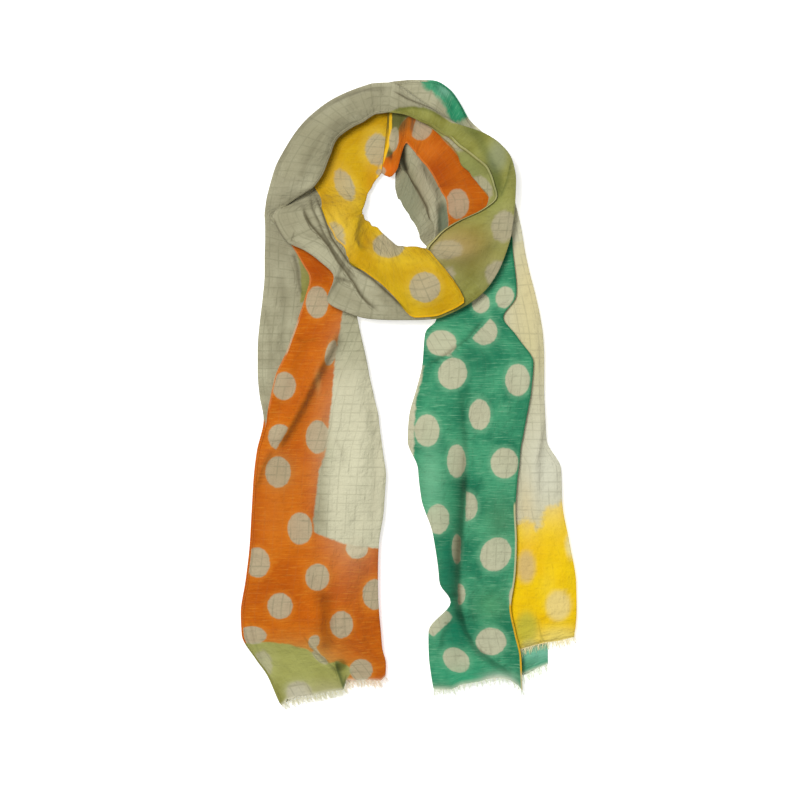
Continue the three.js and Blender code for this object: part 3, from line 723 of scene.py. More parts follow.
TONE_AND_SHADING_PATCHES = entries(ToneAndShadingPatch, {
    Zone.WRAP: (
        ((150, 145, 114), 304, 130, 48, 40, 0.7), ((164, 132, 70), 460, 246, 32, 22, 0.75),
        ((96, 92, 34), 470, 274, 26, 13, 0.4), ((158, 164, 128), 497, 157, 10, 17, 0.7, 2),
        ((104, 116, 52), 478, 128, 20, 9, 0.45), ((112, 126, 62), 494, 186, 7, 22, 0.5),
        ((196, 176, 128), 449, 250, 17, 11, 0.5),
    ),
    Zone.WRAP_LOW: (
        ((132, 140, 84), 470, 170, 30, 24, 0.5),
    ),
    Zone.INNER: (
        ((178, 80, 8), 445, 180, 50, 60, 0.5), ((168, 66, 2), 438, 172, 12, 16, 0.6),
        ((226, 122, 32), 430, 150, 12, 10, 0.6), ((78, 84, 44), 396, 120, 14, 14, 0.75, 2),
        # The near-black patch at (390, 154.5) is painted shade in the gap beside the flap's edge.
        ((56, 44, 30), 390, 154.5, 3, 6.5, 0.92, 2), ((238, 110, 24), 389, 169, 8, 6, 0.5),
        ((104, 76, 52), 413, 124, 2.6, 11, 0.8, 2),
    ),
    Zone.FLAP: (
        # Painted shade: the darker gold under the band's edge at (330, 172) and in the valley at (366,
        # 240). Painted highlight: the paler gold along the ridge at (340, 214).
        ((196, 142, 12), 330, 172, 18, 26, 0.5), ((206, 142, 20), 374, 182, 9, 24, 0.6),
        ((236, 196, 60), 340, 214, 14, 30, 0.5), ((190, 146, 8), 392, 276, 30, 10, 0.45),
        ((236, 200, 50), 420, 262, 40, 8, 0.5), ((188, 138, 4), 366, 240, 10, 12, 0.55),
    ),
    Zone.LOWER: (
        ((150, 204, 176), 445, 90, 7, 6, 0.5), ((44, 152, 106), 458, 112, 8, 12, 0.5),
        # The darker stone patches at (412, 212), (443, 221) and (402, 158) are painted shade in the
        # recessed neck pleats under the loop.
        ((137, 131, 96), 412, 212, 13, 52, 0.8, 2), ((178, 168, 138), 426, 180, 12, 34, 0.6, 2),
        ((108, 120, 96), 443, 221, 5.5, 20, 0.85, 3), ((112, 112, 84), 402, 158, 6, 22, 0.7, 2),
        ((208, 206, 178), 500, 150, 10, 34, 0.6),
    ),
    Zone.LOWER_SIDE: (
        # The darker patch at (406, 208) is painted shade in the recess under the loop.
        ((222, 218, 188), 520, 216, 12, 44, 0.8), ((140, 142, 112), 406, 208, 16, 46, 0.85, 2),
    ),
    Zone.RIGHT_SIDE: (
        ((226, 210, 150), 530, 290, 24, 60, 0.7), ((218, 206, 148), 531, 350, 20, 34, 0.55),
        ((228, 206, 150), 527, 505, 9, 26, 0.6), ((226, 226, 204), 548, 470, 24, 44, 0.7),
        ((255, 214, 6), 549, 542, 13, 22, 0.6), ((252, 218, 60), 548, 586, 8, 16, 0.5),
        ((238, 190, 10), 531, 600, 8, 12, 0.5), ((252, 214, 20), 572, 580, 9, 30, 0.6),
        ((244, 220, 140), 558.8, 606, 13.4, 16, 0.92, 5),
        ((202, 192, 62), 527, 630, 12, 19, 0.95, 3),
        ((222, 192, 126), 526.5, 567, 9.6, 17, 0.92, 4),
        ((252, 238, 170), 573, 545, 7.5, 14, 0.85, 3),
        ((252, 230, 124), 560, 640, 24, 13, 0.8, 1.5),
        ((220, 206, 120), 531, 647, 10, 7, 0.75, 2),
    ),
    Zone.RIGHT_UNDER: (
        # Painted light: the paler teal lifts the shade that the upper plies cast on this ply.
        ((146, 216, 188), 534, 652, 26, 12, 0.75, 2), ((70, 190, 150), 542, 666, 7, 7, 0.5, 2),
    ),
    Zone.LEFT_TOP: (
        ((226, 223, 190), 352, 470, 26, 70, 0.6), ((190, 190, 154), 352, 345, 18, 26, 0.3),
        ((184, 184, 150), 331, 452, 7, 16, 0.3), ((230, 168, 96), 318, 382, 3, 11, 0.6),
        ((216, 104, 2), 316, 612, 18, 14, 0.5), ((144, 118, 76), 279, 472, 15, 18, 0.5),
        ((166, 66, 0), 316, 270, 16, 16, 0.65), ((182, 84, 8), 302, 398, 12, 40, 0.3),
        ((190, 192, 112), 298, 668, 40, 22, 0.6), ((222, 130, 40), 276, 520, 18, 30, 0.4),
        # The dark olive patch at (341, 666) is painted shade at the foot of the overlapping fold.
        ((88, 92, 26), 341, 666, 6, 6, 0.75, 2), ((222, 220, 196), 298, 692, 12, 9, 0.8, 2),
        ((190, 198, 140), 262, 666, 9, 12, 0.6, 2), ((194, 188, 140), 325, 690, 20, 9, 0.5),
    ),
    Zone.LEFT_SIDE: (
        ((150, 145, 118), 283, 226, 28, 56, 0.6),
    ),
    Zone.RIGHT_TOP: (
        # The deep teal patches at (452, 500), (447, 574) and (454, 632) are painted shade in the fold's
        # valley.
        ((34, 118, 80), 452, 500, 10, 60, 0.4), ((124, 196, 152), 431, 480, 13, 34, 0.7),
        ((12, 112, 82), 447, 574, 13, 34, 0.8), ((14, 122, 88), 454, 632, 13, 22, 0.8),
        ((104, 164, 116), 500, 520, 18, 24, 0.4), ((96, 160, 104), 492, 605, 18, 16, 0.4),
        ((44, 168, 120), 470, 676, 34, 12, 0.6), ((40, 120, 86), 476, 360, 14, 22, 0.5),
        ((226, 232, 212), 499, 681, 15, 7, 0.75), ((206, 214, 186), 440, 694, 12, 6, 0.7),
    ),
})


@dataclass(frozen=True)
class HemTone:
    """A tone along one zone's rolled hems, its strength, and where it starts and ends."""

    zone: Zone
    tone: Tone
    strength: float = 0.6
    top: float = 0.0
    bottom: float = 800.0
    right: float = 800.0


HEM_TONES = entries(HemTone, {
    Zone.LEFT_TOP: (
        ((236, 150, 84),), ((222, 206, 170), 0.7, 320, 356), ((236, 150, 84), 0, 410),
        ((236, 150, 84), 0, 0, 243),
    ),
    Zone.WRAP: (((206, 202, 142),), ((206, 202, 142), 0, 0, 220, 452)),
    Zone.WRAP_LOW: (((206, 202, 142),), ((206, 202, 142), 0, 0, 220, 452)),
    Zone.INNER: (((238, 142, 66),), ((238, 142, 66), 0, 0, 800, 404)),
    Zone.FLAP: (((248, 192, 20),),),
    Zone.RIGHT_TOP: (
        ((38, 118, 82),), ((222, 208, 160), 0.8, 502), ((240, 186, 34), 1, 604, 674),
    ),
})

# How pale and sheer the bare ground of a zone is.
SHEER = {
    Zone.RIGHT_SIDE: 0.9, Zone.LOWER_SIDE: 0.9, Zone.RIGHT_TOP: 0.75, Zone.RIGHT_UNDER: 0.9,
}


@dataclass(frozen=True)
class EndEdge:
    """How far the woven end runs past its straight line, by drawing x."""

    places: tuple[float, ...]
    shifts: tuple[float, ...]
    fade: float = 26.0

    def shift(self, x: Grid, from_end: Grid) -> Grid:
        """How far down the drawing points move, by x and distance from the end."""
        return np.interp(x, self.places, self.shifts) * smooth(1 - from_end / self.fade)


LEFT_END = EndEdge(
    (279, 282, 286, 293, 312, 328, 343.5, 346, 350, 368, 372, 381, 385),
    (9.5, 7, 2.6, 2.2, 3.6, 4.5, 5.2, -3.2, -2.6, 1.2, 2.6, 5, 2),
)
END_EDGES = {
    Zone.LEFT_TOP: LEFT_END,
    Zone.LEFT_SIDE: LEFT_END,
    Zone.RIGHT_TOP: EndEdge(
        (433, 440, 452, 461, 479, 488, 500, 510, 519, 522, 524),
        (4, 5, 5, 0.5, -2, -4.5, -5.5, -3, 3, 8, 8),
    ),
    Zone.RIGHT_SIDE: EndEdge((433, 480, 520, 545, 560, 576), (4, 0, -7, -6, -3, -2)),
    Zone.RIGHT_UNDER: EndEdge((440, 500, 525, 545, 552), (4, 1, 10, 3, 3)),
}


@dataclass
class Section:
    """One section of the folded strip, named by the table's columns."""

    region: Region
    values: dict[str, float]

    def __getitem__(self, name: str) -> float:
        """The value of one column."""
        return self.values[name]


@dataclass
class FoldedStrip:
    """The folded sheet's shape: its sections, laid closely, and their points.

    Each ply has its own number of steps across. The ply under the top one has most of
    its steps before its bend, where it is seen.
    """

    thickness: float = 1.2
    pitch: float = 3.0
    end_pitch: float = 2.2
    end_rows: int = 5
    step: float = 4.6
    sweep_step: float = 11.0
    slant_rows: int = 2
    steepest: float = 3.0
    ply_steps: tuple[int, ...] = (22, 4, 6, 32, 76)
    seen_ply: int = 3
    seen_share: float = 0.62
    seen_bounds: Point = (0.15, 0.85)
    seen_past_hem: float = 4.0
    fold_steps: int = 5
    fold_share: float = 0.35
    hem_roll: float = 0.5
    hem_turn: float = 1.6 * math.pi
    hem_steps: int = 4
    rise_end: float = 0.45
    fall_start: float = 0.5
    sections: list[Section] = field(default_factory=list)

    def rows(self) -> list[Section]:
        """The table's rows with their pitch, angle and width.

        Returns:
            Sections in order.
        """
        rows = [
            Section(region, dict(zip(COLUMNS, map(float, (*row, 0)))))
            for region, table in SECTIONS.items()
            for row in table
        ]
        angle = 0.0
        for j, row in enumerate(rows):
            reach = min(1.0, min(j, len(rows) - 1 - j) / self.end_rows)
            dx = row["inner_x"] - row["outer_x"]
            dy = row["inner_y"] - row["outer_y"]
            turn = math.atan2(dy, dx) - angle
            angle += turn - 2 * math.pi * round(turn / (2 * math.pi))
            row.values["pitch"] = self.end_pitch + (self.pitch - self.end_pitch) * reach
            row.values["angle"] = angle
            row.values["width"] = math.hypot(dx, dy)
        return rows

    @staticmethod
    def blend(p0: float, p1: float, p2: float, p3: float, t: float) -> float:
        """The value part of the way between the middle two of four samples.

        Args:
            p0: The first sample.
            p1: The second.
            p2: The third.
            p3: The fourth.
            t: How far between the second and the third, from 0 to 1.

        Returns:
            The value there.
        """

        def slope(before: float, after: float) -> float:
            """A slope that never overshoots."""
            return 2 * before * after / (before + after) if before * after > 0 else 0.0

        m1 = slope(p1 - p0, p2 - p1)
        m2 = slope(p2 - p1, p3 - p2)
        t2, t3 = t * t, t * t * t
        start = (2 * t3 - 3 * t2 + 1) * p1 + (t3 - 2 * t2 + t) * m1
        return start + (3 * t2 - 2 * t3) * p2 + (t3 - t2) * m2

    @staticmethod
    def gap(a: Section, b: Section, side: str) -> float:
        """Distance between two sections at their outer or inner side."""
        return math.hypot(b[side + "_x"] - a[side + "_x"], b[side + "_y"] - a[side + "_y"])

    def lay(self) -> None:
        """Fills in the sections between the table's rows, and the slants of their folds."""
        rows = self.rows()
        last = len(rows) - 1
        for j, (a, b) in enumerate(zip(rows, rows[1:])):
            gap = max(self.gap(a, b, "outer"), self.gap(a, b, "inner"))
            sweep = max(abs(b[n] - a[n]) for n in ("hem1", "fold2", "fold4", "hem2"))
            steps = max(1, math.ceil(gap / self.step), math.ceil(sweep / self.sweep_step))
            around = (rows[max(0, j - 1)], a, b, rows[min(last, j + 2)])
            for k in range(steps):
                t = k / steps
                values = {n: self.blend(*(row[n] for row in around), t) for n in a.values}
                self.sections.append(Section(a.region if t < 0.5 else b.region, values))
        self.sections.append(rows[last])
        for j, row in enumerate(self.sections):
            a = self.sections[max(0, j - self.slant_rows)]
            b = self.sections[min(len(self.sections) - 1, j + self.slant_rows)]
            gap = max(self.gap(a, b, "outer"), 1.0)
            for number in ("1", "2", "4"):
                slope = (b["fold" + number] - a["fold" + number]) / gap
                slope = min(self.steepest, max(-self.steepest, slope))
                row.values["slant" + number] = math.hypot(1.0, slope)

    def hem(self, place: float, level: float, way: float) -> list[tuple[float, float, float]]:
        """The points of a rolled hem, from the flat cloth to its edge.

        Args:
            place: Where it starts, from the outer side.
            level: Its ply's level.
            way: 1 where the cloth ends away from the outer side, or -1.

        Returns:
            Points as in a profile.
        """
        roll = self.hem_roll
        angles = [self.hem_turn * k / self.hem_steps for k in range(1, self.hem_steps + 1)]
        return [(place + way * roll * math.sin(a), level, roll * (1 - math.cos(a))) for a in angles]

    def fold(self, place: float, ply: int, reach: float) -> list[tuple[float, float, float]]:
        """The points round a fold, from one ply to the next."""
        angles = [math.pi * k / self.fold_steps for k in range(1, self.fold_steps)]
        return [(place + reach * math.sin(a), ply + (1 - math.cos(a)) / 2, 0.0) for a in angles]

    def places(self, ply: int, start: float, end: float, hem: float) -> list[float]:
        """The places across one ply.

        Args:
            ply: Its number.
            start: Where its flat part starts.
            end: Where that ends.
            hem: Where the top ply's hem lies.

        Returns:
            Distances from the outer side.
        """
        steps = self.ply_steps[ply]
        if ply != self.seen_ply:
            return [start + (end - start) * k / steps for k in range(steps + 1)]
        length = end - start
        low, high = self.seen_bounds
        bend = start + max(low * length, min(high * length, hem + self.seen_past_hem))
        near = round(steps * self.seen_share)
        rest = steps - near
        seen = [start + (bend - start) * k / near for k in range(near)]
        return seen + [bend + (end - bend) * k / rest for k in range(rest + 1)]

    def profile(self, row: Section) -> Grid:
        """One section from the first hem to the second.

        Args:
            row: The section.

        Returns:
            Rows of distance from the outer side, level in plies, and rise in
            millimetres where a hem is rolled.
        """
        turns = [row["hem1"], row["fold1"], row["fold2"], 0.0, row["fold4"], row["hem2"]]
        slants = [0.0, row["slant1"], row["slant2"], 1.0, row["slant4"], 0.0]
        ways = [1.0 if b > a else -1.0 for a, b in zip(turns, turns[1:])]
        top = len(ways) - 1
        reach = [0.0] * len(turns)
        for k in range(1, len(ways)):
            shorter = min(abs(turns[k] - turns[k - 1]), abs(turns[k + 1] - turns[k]))
            reach[k] = min(row["pitch"] / 2 * slants[k], self.fold_share * shorter)
        points = self.hem(turns[0], 0.0, -ways[0])[::-1]
        for ply, way in enumerate(ways):
            start = turns[ply] + way * reach[ply]
            end = turns[ply + 1] - way * reach[ply + 1]
            places = self.places(ply, start, end, row["hem2"])
            points += [(place, float(ply), 0.0) for place in places]
            if ply < top:
                points += self.fold(end, ply, way * reach[ply + 1])
        return np.array(points + self.hem(turns[-1], float(top), ways[-1]))

    def lift(self, row: Section, share: Grid) -> Grid:
        """Height of a section's underside.

        Args:
            row: The section.
            share: Shares of its width.

        Returns:
            The heights.
        """
        low, high = row["lift_out"], row["lift_in"]
        rise = smooth(share / self.rise_end)
        fall = smooth((share - self.fall_start) / (1 - self.fall_start))
        return low + (high - low) * (rise if high > low else fall)


@dataclass
class Surface:
    """The strip's points as arrays of sections by places across."""

    x: Grid
    y: Grid
    z: Grid
    level: Grid
    warp: Grid
    weft: Grid
    zone: Grid
    foot: Grid
    shade: Grid
    hem: Grid

    def on(self, zone: Zone) -> tuple[Grid, Grid, Grid]:
        """Which points lie on one zone, and their drawing x and y."""
        here = self.zone == zone
        return here, self.x[here], self.y[here]


@dataclass(frozen=True)
class Waves:
    """Small uneven waves of the cloth, a sum of seeded sines."""

    height: float
    length: float
    seed: int
    squeeze: float = 1.0
    sines: int = 7
    spread: Point = (0.6, 1.7)
    evenness: float = 3.4

    def at(self, x: Grid, y: Grid) -> Grid:
        """Their form at points of the drawing.

        Args:
            x: Drawing x of each point.
            y: Drawing y of each point.

        Returns:
            Values between about -1 and 1.
        """
        random = np.random.default_rng(self.seed)
        total = np.zeros(x.shape)
        for _ in range(self.sines):
            turn = random.uniform(0, 2 * math.pi)
            step = 2 * math.pi / (self.length * random.uniform(*self.spread))
            phase = random.uniform(0, 2 * math.pi)
            down = y * self.squeeze
            total += np.sin(step * (x * math.cos(turn) + down * math.sin(turn)) + phase)
        return total / self.evenness


@dataclass
class Drape:
    """Lays the strip's points, with its pleats, small waves and raw ends."""

    strip: FoldedStrip
    ripples: tuple[Waves, ...] = (Waves(0.7, 30, 3, 0.5), Waves(0.4, 13, 5))
    creases: Waves = Waves(0.5, 38, 17, 0.7)
    side_lag: float = 1.0
    under_lag: float = 0.6
    calm_crown: float = 4.0
    flat_share: float = 0.3
    edge_share: float = 0.25
    edge_reach: float = 5.0
    deepest: float = -7.0
    side_warp: float = 300.0
    top_warp: float = 400.0
    hem_levels: Point = (0.1, 3.9)
    no_hem: float = 99.0
    flap_foot: float = 174.0

    def plan(self, column: dict[str, Grid], across: Grid, level: Grid) -> tuple[Grid, Grid]:
        """Places every point, with the hidden plies trailing by their slip.

        Args:
            column: The sections' values by name.
            across: Distance of each point from the outer side.
            level: Its level in plies.

        Returns:
            Drawing x and y.
        """
        cos, sin = np.cos(column["angle"]), np.sin(column["angle"])
        lag = np.where(level > MIDDLE, self.side_lag, self.under_lag)
        lag = column["slip"] * np.maximum(0.0, 1 - across / column["fold4"]) * lag
        lag = np.where(level > UNDER_TOP, 0.0, lag)
        x = column["outer_x"] + cos * across - sin * lag
        return x, column["outer_y"] + sin * across + cos * lag

    def yarns(self, column: dict[str, Grid], across: Grid, level: Grid) -> tuple[Grid, Grid]:
        """Millimetres across the warp and along the strip.

        The warp is measured from the first hem, from the outer fold above the first
        fold, and from the second hem on the top ply, so that it runs straight where it
        is seen.

        Args:
            column: The sections' values by name.
            across: Distance of each point from the outer side.
            level: Its level in plies.

        Returns:
            The warp and the weft coordinate of each point.
        """
        folded = np.hypot(np.diff(across, axis=1), np.diff(level, axis=1) * column["pitch"])
        walk = np.pad(np.cumsum(folded, axis=1), ((0, 0), (1, 0)))
        outer = int(np.argmin(np.abs(level[0] - OUTER_FOLD)))
        side = self.side_warp + walk - walk[:, outer : outer + 1]
        warp = np.where(level > FIRST_FOLD, side, walk)
        warp = np.where(level > UNDER_TOP, self.top_warp + walk - walk[:, -1:], warp)
        middle = column["fold4"] * 0.5
        x = (column["outer_x"] + np.cos(column["angle"]) * middle)[:, 0]
        y = (column["outer_y"] + np.sin(column["angle"]) * middle)[:, 0]
        walked = np.pad(np.cumsum(np.hypot(np.diff(x), np.diff(y))), (1, 0))
        return warp, np.broadcast_to(walked[:, None], across.shape)

    def relief(self, column: dict[str, Grid], across: Grid, x: Grid, y: Grid, folds: Grid) -> Grid:
        """How far the top ply stands above its even height.

        Args:
            column: The sections' values by name.
            across: Distance of each point from the outer side.
            x: Drawing x of each point.
            y: Drawing y of each point.
            folds: Height of the pleats there.

        Returns:
            Millimetres of crown, pleats and small waves.
        """
        span = np.clip(across / np.maximum(column["fold4"], 1.0), 0.0, 1.0)
        bulge = 4 * span * (1 - span) * column["crown"]
        calm = smooth(column["crown"] / self.calm_crown) * np.ones(x.shape)
        folds = np.maximum(folds, 0.0) * calm + np.maximum(np.minimum(folds, 0.0), self.deepest)
        ripple = sum(waves.height * waves.at(x, y) for waves in self.ripples)
        ripple = ripple + self.creases.height * (1 - 2 * np.abs(self.creases.at(x, y)))
        ripple = ripple * (self.flat_share + (1 - self.flat_share) * calm)
        ripple = ripple * np.minimum(1.0, across / self.edge_reach + self.edge_share)
        return bulge + (folds + ripple)

    def hems(self, column: dict[str, Grid], across: Grid, level: Grid, flap: Grid) -> Grid:
        """Distance to the hems on the top and the lowest ply.

        Args:
            column: The sections' values by name.
            across: Distance of each point from the outer side.
            level: Its level in plies.
            flap: Where the flap's outer side is a hem too.

        Returns:
            Millimetres to the nearest hem.
        """
        low, high = self.hem_levels
        hem = np.where(level > high, np.abs(across - column["hem2"]), self.no_hem)
        hem = np.where(level < low, np.abs(across - column["hem1"]), hem)
        return np.where(flap, np.minimum(hem, np.abs(across - column["fold4"])), hem)

    def lay(self) -> Surface:
        """Lays every point.

        Returns:
            The surface in drawing millimetres.
        """
        strip, sections = self.strip, self.strip.sections
        profiles = np.array([strip.profile(row) for row in sections])
        across, level, roll = np.moveaxis(profiles, 2, 0)
        column = {n: np.array([row[n] for row in sections])[:, None] for n in sections[0].values}
        region = np.array([int(row.region) for row in sections])[:, None]
        region = np.broadcast_to(region, across.shape)
        zone = np.array([zone_of(row.region, levels) for row, levels in zip(sections, level)])
        x, y = self.plan(column, across, level)
        warp, weft = self.yarns(column, across, level)
        folds, foot, shade = pleated(region, x, y)
        share = np.clip(across / column["width"], 0.0, 1.0)
        z = np.array([strip.lift(row, shares) for row, shares in zip(sections, share)])
        z = z + strip.thickness / 2 + level * column["pitch"]
        z = z + level / level.max() * self.relief(column, across, x, y, folds) + roll
        flap = (zone == Zone.FLAP) & (region == Region.LEFT_INNER) & (y < self.flap_foot)
        hem = self.hems(column, across, level, flap)
        from_end = np.minimum(weft, weft[-1] - weft)
        for key, edge in END_EDGES.items():
            y = y + np.where(zone == key, edge.shift(x, from_end), 0.0)
        shade = shade * (level > OUTER_FOLD)
        return Surface(x, y, z, level, warp, weft, zone, foot, shade, hem)


def zone_of(region: Region, level: Grid) -> Grid:
    """The zone of points on one section.

    Args:
        region: The stretch of the strip.
        level: Each point's level.

    Returns:
        Zone numbers.
    """
    zone = np.zeros(level.shape, int)
    for start, above in ZONES[region]:
        zone = np.where(level >= start, above, zone)
    return zone


def pleated(region: Grid, x: Grid, y: Grid) -> tuple[Grid, Grid, Grid]:
    """How far the pleats raise the upper layers, and where they paint shade on them.

    Args:
        region: Region number of each point.
        x: Drawing x of each point.
        y: Drawing y of each point.

    Returns:
        The height in millimetres. For each channel and point, the distance to the foot
        of the pleat whose painted shade is darkest there, in reaches. And that painted shade.
    """
    total = np.zeros(x.shape)
    foot = np.full((CHANNELS, *x.shape), FAR_FOOT)
    shade = np.zeros(foot.shape)
    most = np.zeros(foot.shape)
    for number, pleat in enumerate(PLEATS):
        near = pleat.near(region, x, y)
        height, away, shown = pleat.relief(x[near], y[near])
        total[near] += height
        dark = shown * np.exp(-FOOT_FALL * away**2)
        channel = number % CHANNELS
        wins = dark > most[channel][near]
        for layer, value in ((most, dark), (foot, away), (shade, shown)):
            layer[channel][near] = np.where(wins, value, layer[channel][near])
    return total, foot, shade


@dataclass
class Print:
    """The dyed areas and bare dots, as distances held at each point of the cloth."""

    surface: Surface
    far: float = 30.0
    hidden_pitch: float = 62.0
    hidden_radius: float = 13.2
    end_tone: Tone = (238, 234, 210)
    end_fade: float = 0.45
    end_reach: float = 4.0
    bare_side: float = 475.0
    panel_sheer: float = 0.85
    panel_top: Point = (335, 60)
    panel_side: Point = (322, 12)
    panel_foot: Point = (562, 6)

    def dye(self, dye: Dye) -> Grid:
        """Distance to the edge of one dye, positive inside it.

        Args:
            dye: The dye.

        Returns:
            Signed millimetres.
        """
        total = np.full(self.surface.x.shape, -self.far)
        for area in DYE_AREAS:
            if area.dye is dye:
                here, x, y = self.surface.on(area.zone)
                away = outline_distance(x, y, area.outline)
                total[here] = np.maximum(total[here], away * area.softness)
        return np.clip(total, -self.far, self.far)

    def dots(self) -> Grid:
        """Distance to the nearest dot's rim, negative inside it.

        Returns:
            Signed millimetres.
        """
        surface = self.surface
        total = np.full(surface.x.shape, self.far)
        for dot in DOTS:
            here, x, y = surface.on(dot.zone)
            total[here] = np.minimum(total[here], dot.rim(x, y))
        pitch = self.hidden_pitch
        row = np.round(surface.weft / (pitch * 0.5))
        place = surface.warp / pitch + 0.5 * (row % 2)
        across = (place - np.round(place)) * pitch
        under = np.hypot(across, surface.weft - row * pitch * 0.5) - self.hidden_radius
        hidden = np.isin(surface.zone, (Zone.LEFT_SIDE, Zone.WRAP_LOW))
        return np.where(hidden & (surface.level < SIDE_SEEN), np.minimum(total, under), total)

    def sheer(self) -> Grid:
        """How pale and sheer the bare ground is.

        Returns:
            Shares from 0 to 1.
        """
        x, y, zone = self.surface.x, self.surface.y, self.surface.zone
        total = np.zeros(x.shape)
        for key, share in SHEER.items():
            total[zone == key] = share
        total[(zone == Zone.LOWER_SIDE) & (x < self.bare_side)] = 0.0
        top, side, foot = self.panel_top, self.panel_side, self.panel_foot
        panel = self.panel_sheer * smooth((y - top[0]) / top[1]) * smooth((x - side[0]) / side[1])
        return np.where(zone == Zone.LEFT_TOP, panel * smooth((foot[0] - y) / foot[1]), total)

    def tone_and_shading(self) -> Grid:
        """The tone of the soft patches at each point, painted shade and highlights among them.

        Returns:
            Tints, with their strength as alpha.
        """
        surface = self.surface
        total = np.zeros((*surface.x.shape, 4))
        for tone_and_shading in TONE_AND_SHADING_PATCHES:
            here, x, y = surface.on(tone_and_shading.zone)
            total[here] = self.over(total[here], tone_and_shading.tone, tone_and_shading.share(x, y))
        from_end = np.minimum(surface.weft, surface.weft.max() - surface.weft)
        worn = self.end_fade * smooth(1 - from_end / self.end_reach)
        return self.over(total, self.end_tone, worn)

    @staticmethod
    def over(below: Grid, tone: Tone, share: Grid) -> Grid:
        """Lays a tone over tinted points.

        Args:
            below: The points' tints, with their strength as alpha.
            tone: The tone laid over them.
            share: Its strength at each point.

        Returns:
            The new tints.
        """
        alpha = below[..., 3] + share - below[..., 3] * share
        mixed = below[..., :3] * (below[..., 3] * (1 - share))[..., None]
        mixed = mixed + np.array(colour(*tone)[:3]) * share[..., None]
        mixed = mixed / np.maximum(alpha, 1e-6)[..., None]
        return np.concatenate([mixed, alpha[..., None]], axis=-1)

    def edging(self) -> Grid:
        """The tone of the rolled hems at each point.

        Returns:
            Tints, with their strength as alpha.
        """
        x, y, zone = self.surface.x, self.surface.y, self.surface.zone
        total = np.zeros((*x.shape, 4))
        for hem in HEM_TONES:
            here = (zone == hem.zone) & (y > hem.top) & (y < hem.bottom) & (x < hem.right)
            total[here] = (*colour(*hem.tone)[:3], hem.strength)
        return total

    def layers(self) -> dict[str, Grid]:
        """Everything that the cloth's finish reads.

        Returns:
            Values at each point by name.
        """
        surface = self.surface
        layers = {dye.value: self.dye(dye) for dye in Dye}
        layers |= {"dot": self.dots(), "sheer": self.sheer()}
        layers |= {"tone_and_shading": self.tone_and_shading(), "edging": self.edging()}
        layers |= {"warp": surface.warp, "weft": surface.weft, "hem": surface.hem}
        for channel in range(CHANNELS):
            layers[f"foot_{channel}"] = surface.foot[channel]
            layers[f"shade_{channel}"] = surface.shade[channel]
        return layers


class Value:
    """A shader value that adds Math nodes as it is used in sums."""

    def __init__(self, graph: "Graph", socket: Socket) -> None:
        """Wraps one output socket of a graph."""
        self.graph = graph
        self.socket = socket

    def _math(self, operation: str, *values: "Value | float") -> "Value":
        """One Math node over values and numbers."""
        node = self.graph.node("ShaderNodeMath", {"operation": operation}, dict(enumerate(values)))
        return Value(self.graph, node.outputs[0])

    def __add__(self, other: "Value | float") -> "Value":
        """Sum."""
        return self._math("ADD", self, other)

    def __sub__(self, other: "Value | float") -> "Value":
        """Difference."""
        return self._math("SUBTRACT", self, other)

    def __rsub__(self, other: float) -> "Value":
        """Difference with the number first."""
        return self._math("SUBTRACT", other, self)

    def __mul__(self, other: "Value | float") -> "Value":
        """Product."""
        return self._math("MULTIPLY", self, other)

    __radd__ = __add__
    __rmul__ = __mul__

    def highest(self, other: "Value | float") -> "Value":
        """The larger of two values."""
        return self._math("MAXIMUM", self, other)

    def exponent(self) -> "Value":
        """The exponential."""
        return self._math("EXPONENT", self)

    def wave(self) -> "Value":
        """Its sine."""
        return self._math("SINE", self)

    def step(self, low: float, high: float) -> "Value":
        """A smooth step from 0 to 1.

        Args:
            low: Where it is 0.
            high: Where it is 1, above or below low.

        Returns:
            The step.
        """
        ends = (0.0, 1.0) if low < high else (1.0, 0.0)
        sockets = ("Value", "From Min", "From Max", "To Min", "To Max")
        inputs = dict(zip(sockets, (self, min(low, high), max(low, high), *ends)))
        kind = {"interpolation_type": "SMOOTHSTEP"}
        return Value(self.graph, self.graph.node("ShaderNodeMapRange", kind, inputs).outputs["Result"])


Input = Value | Socket | Colour | float


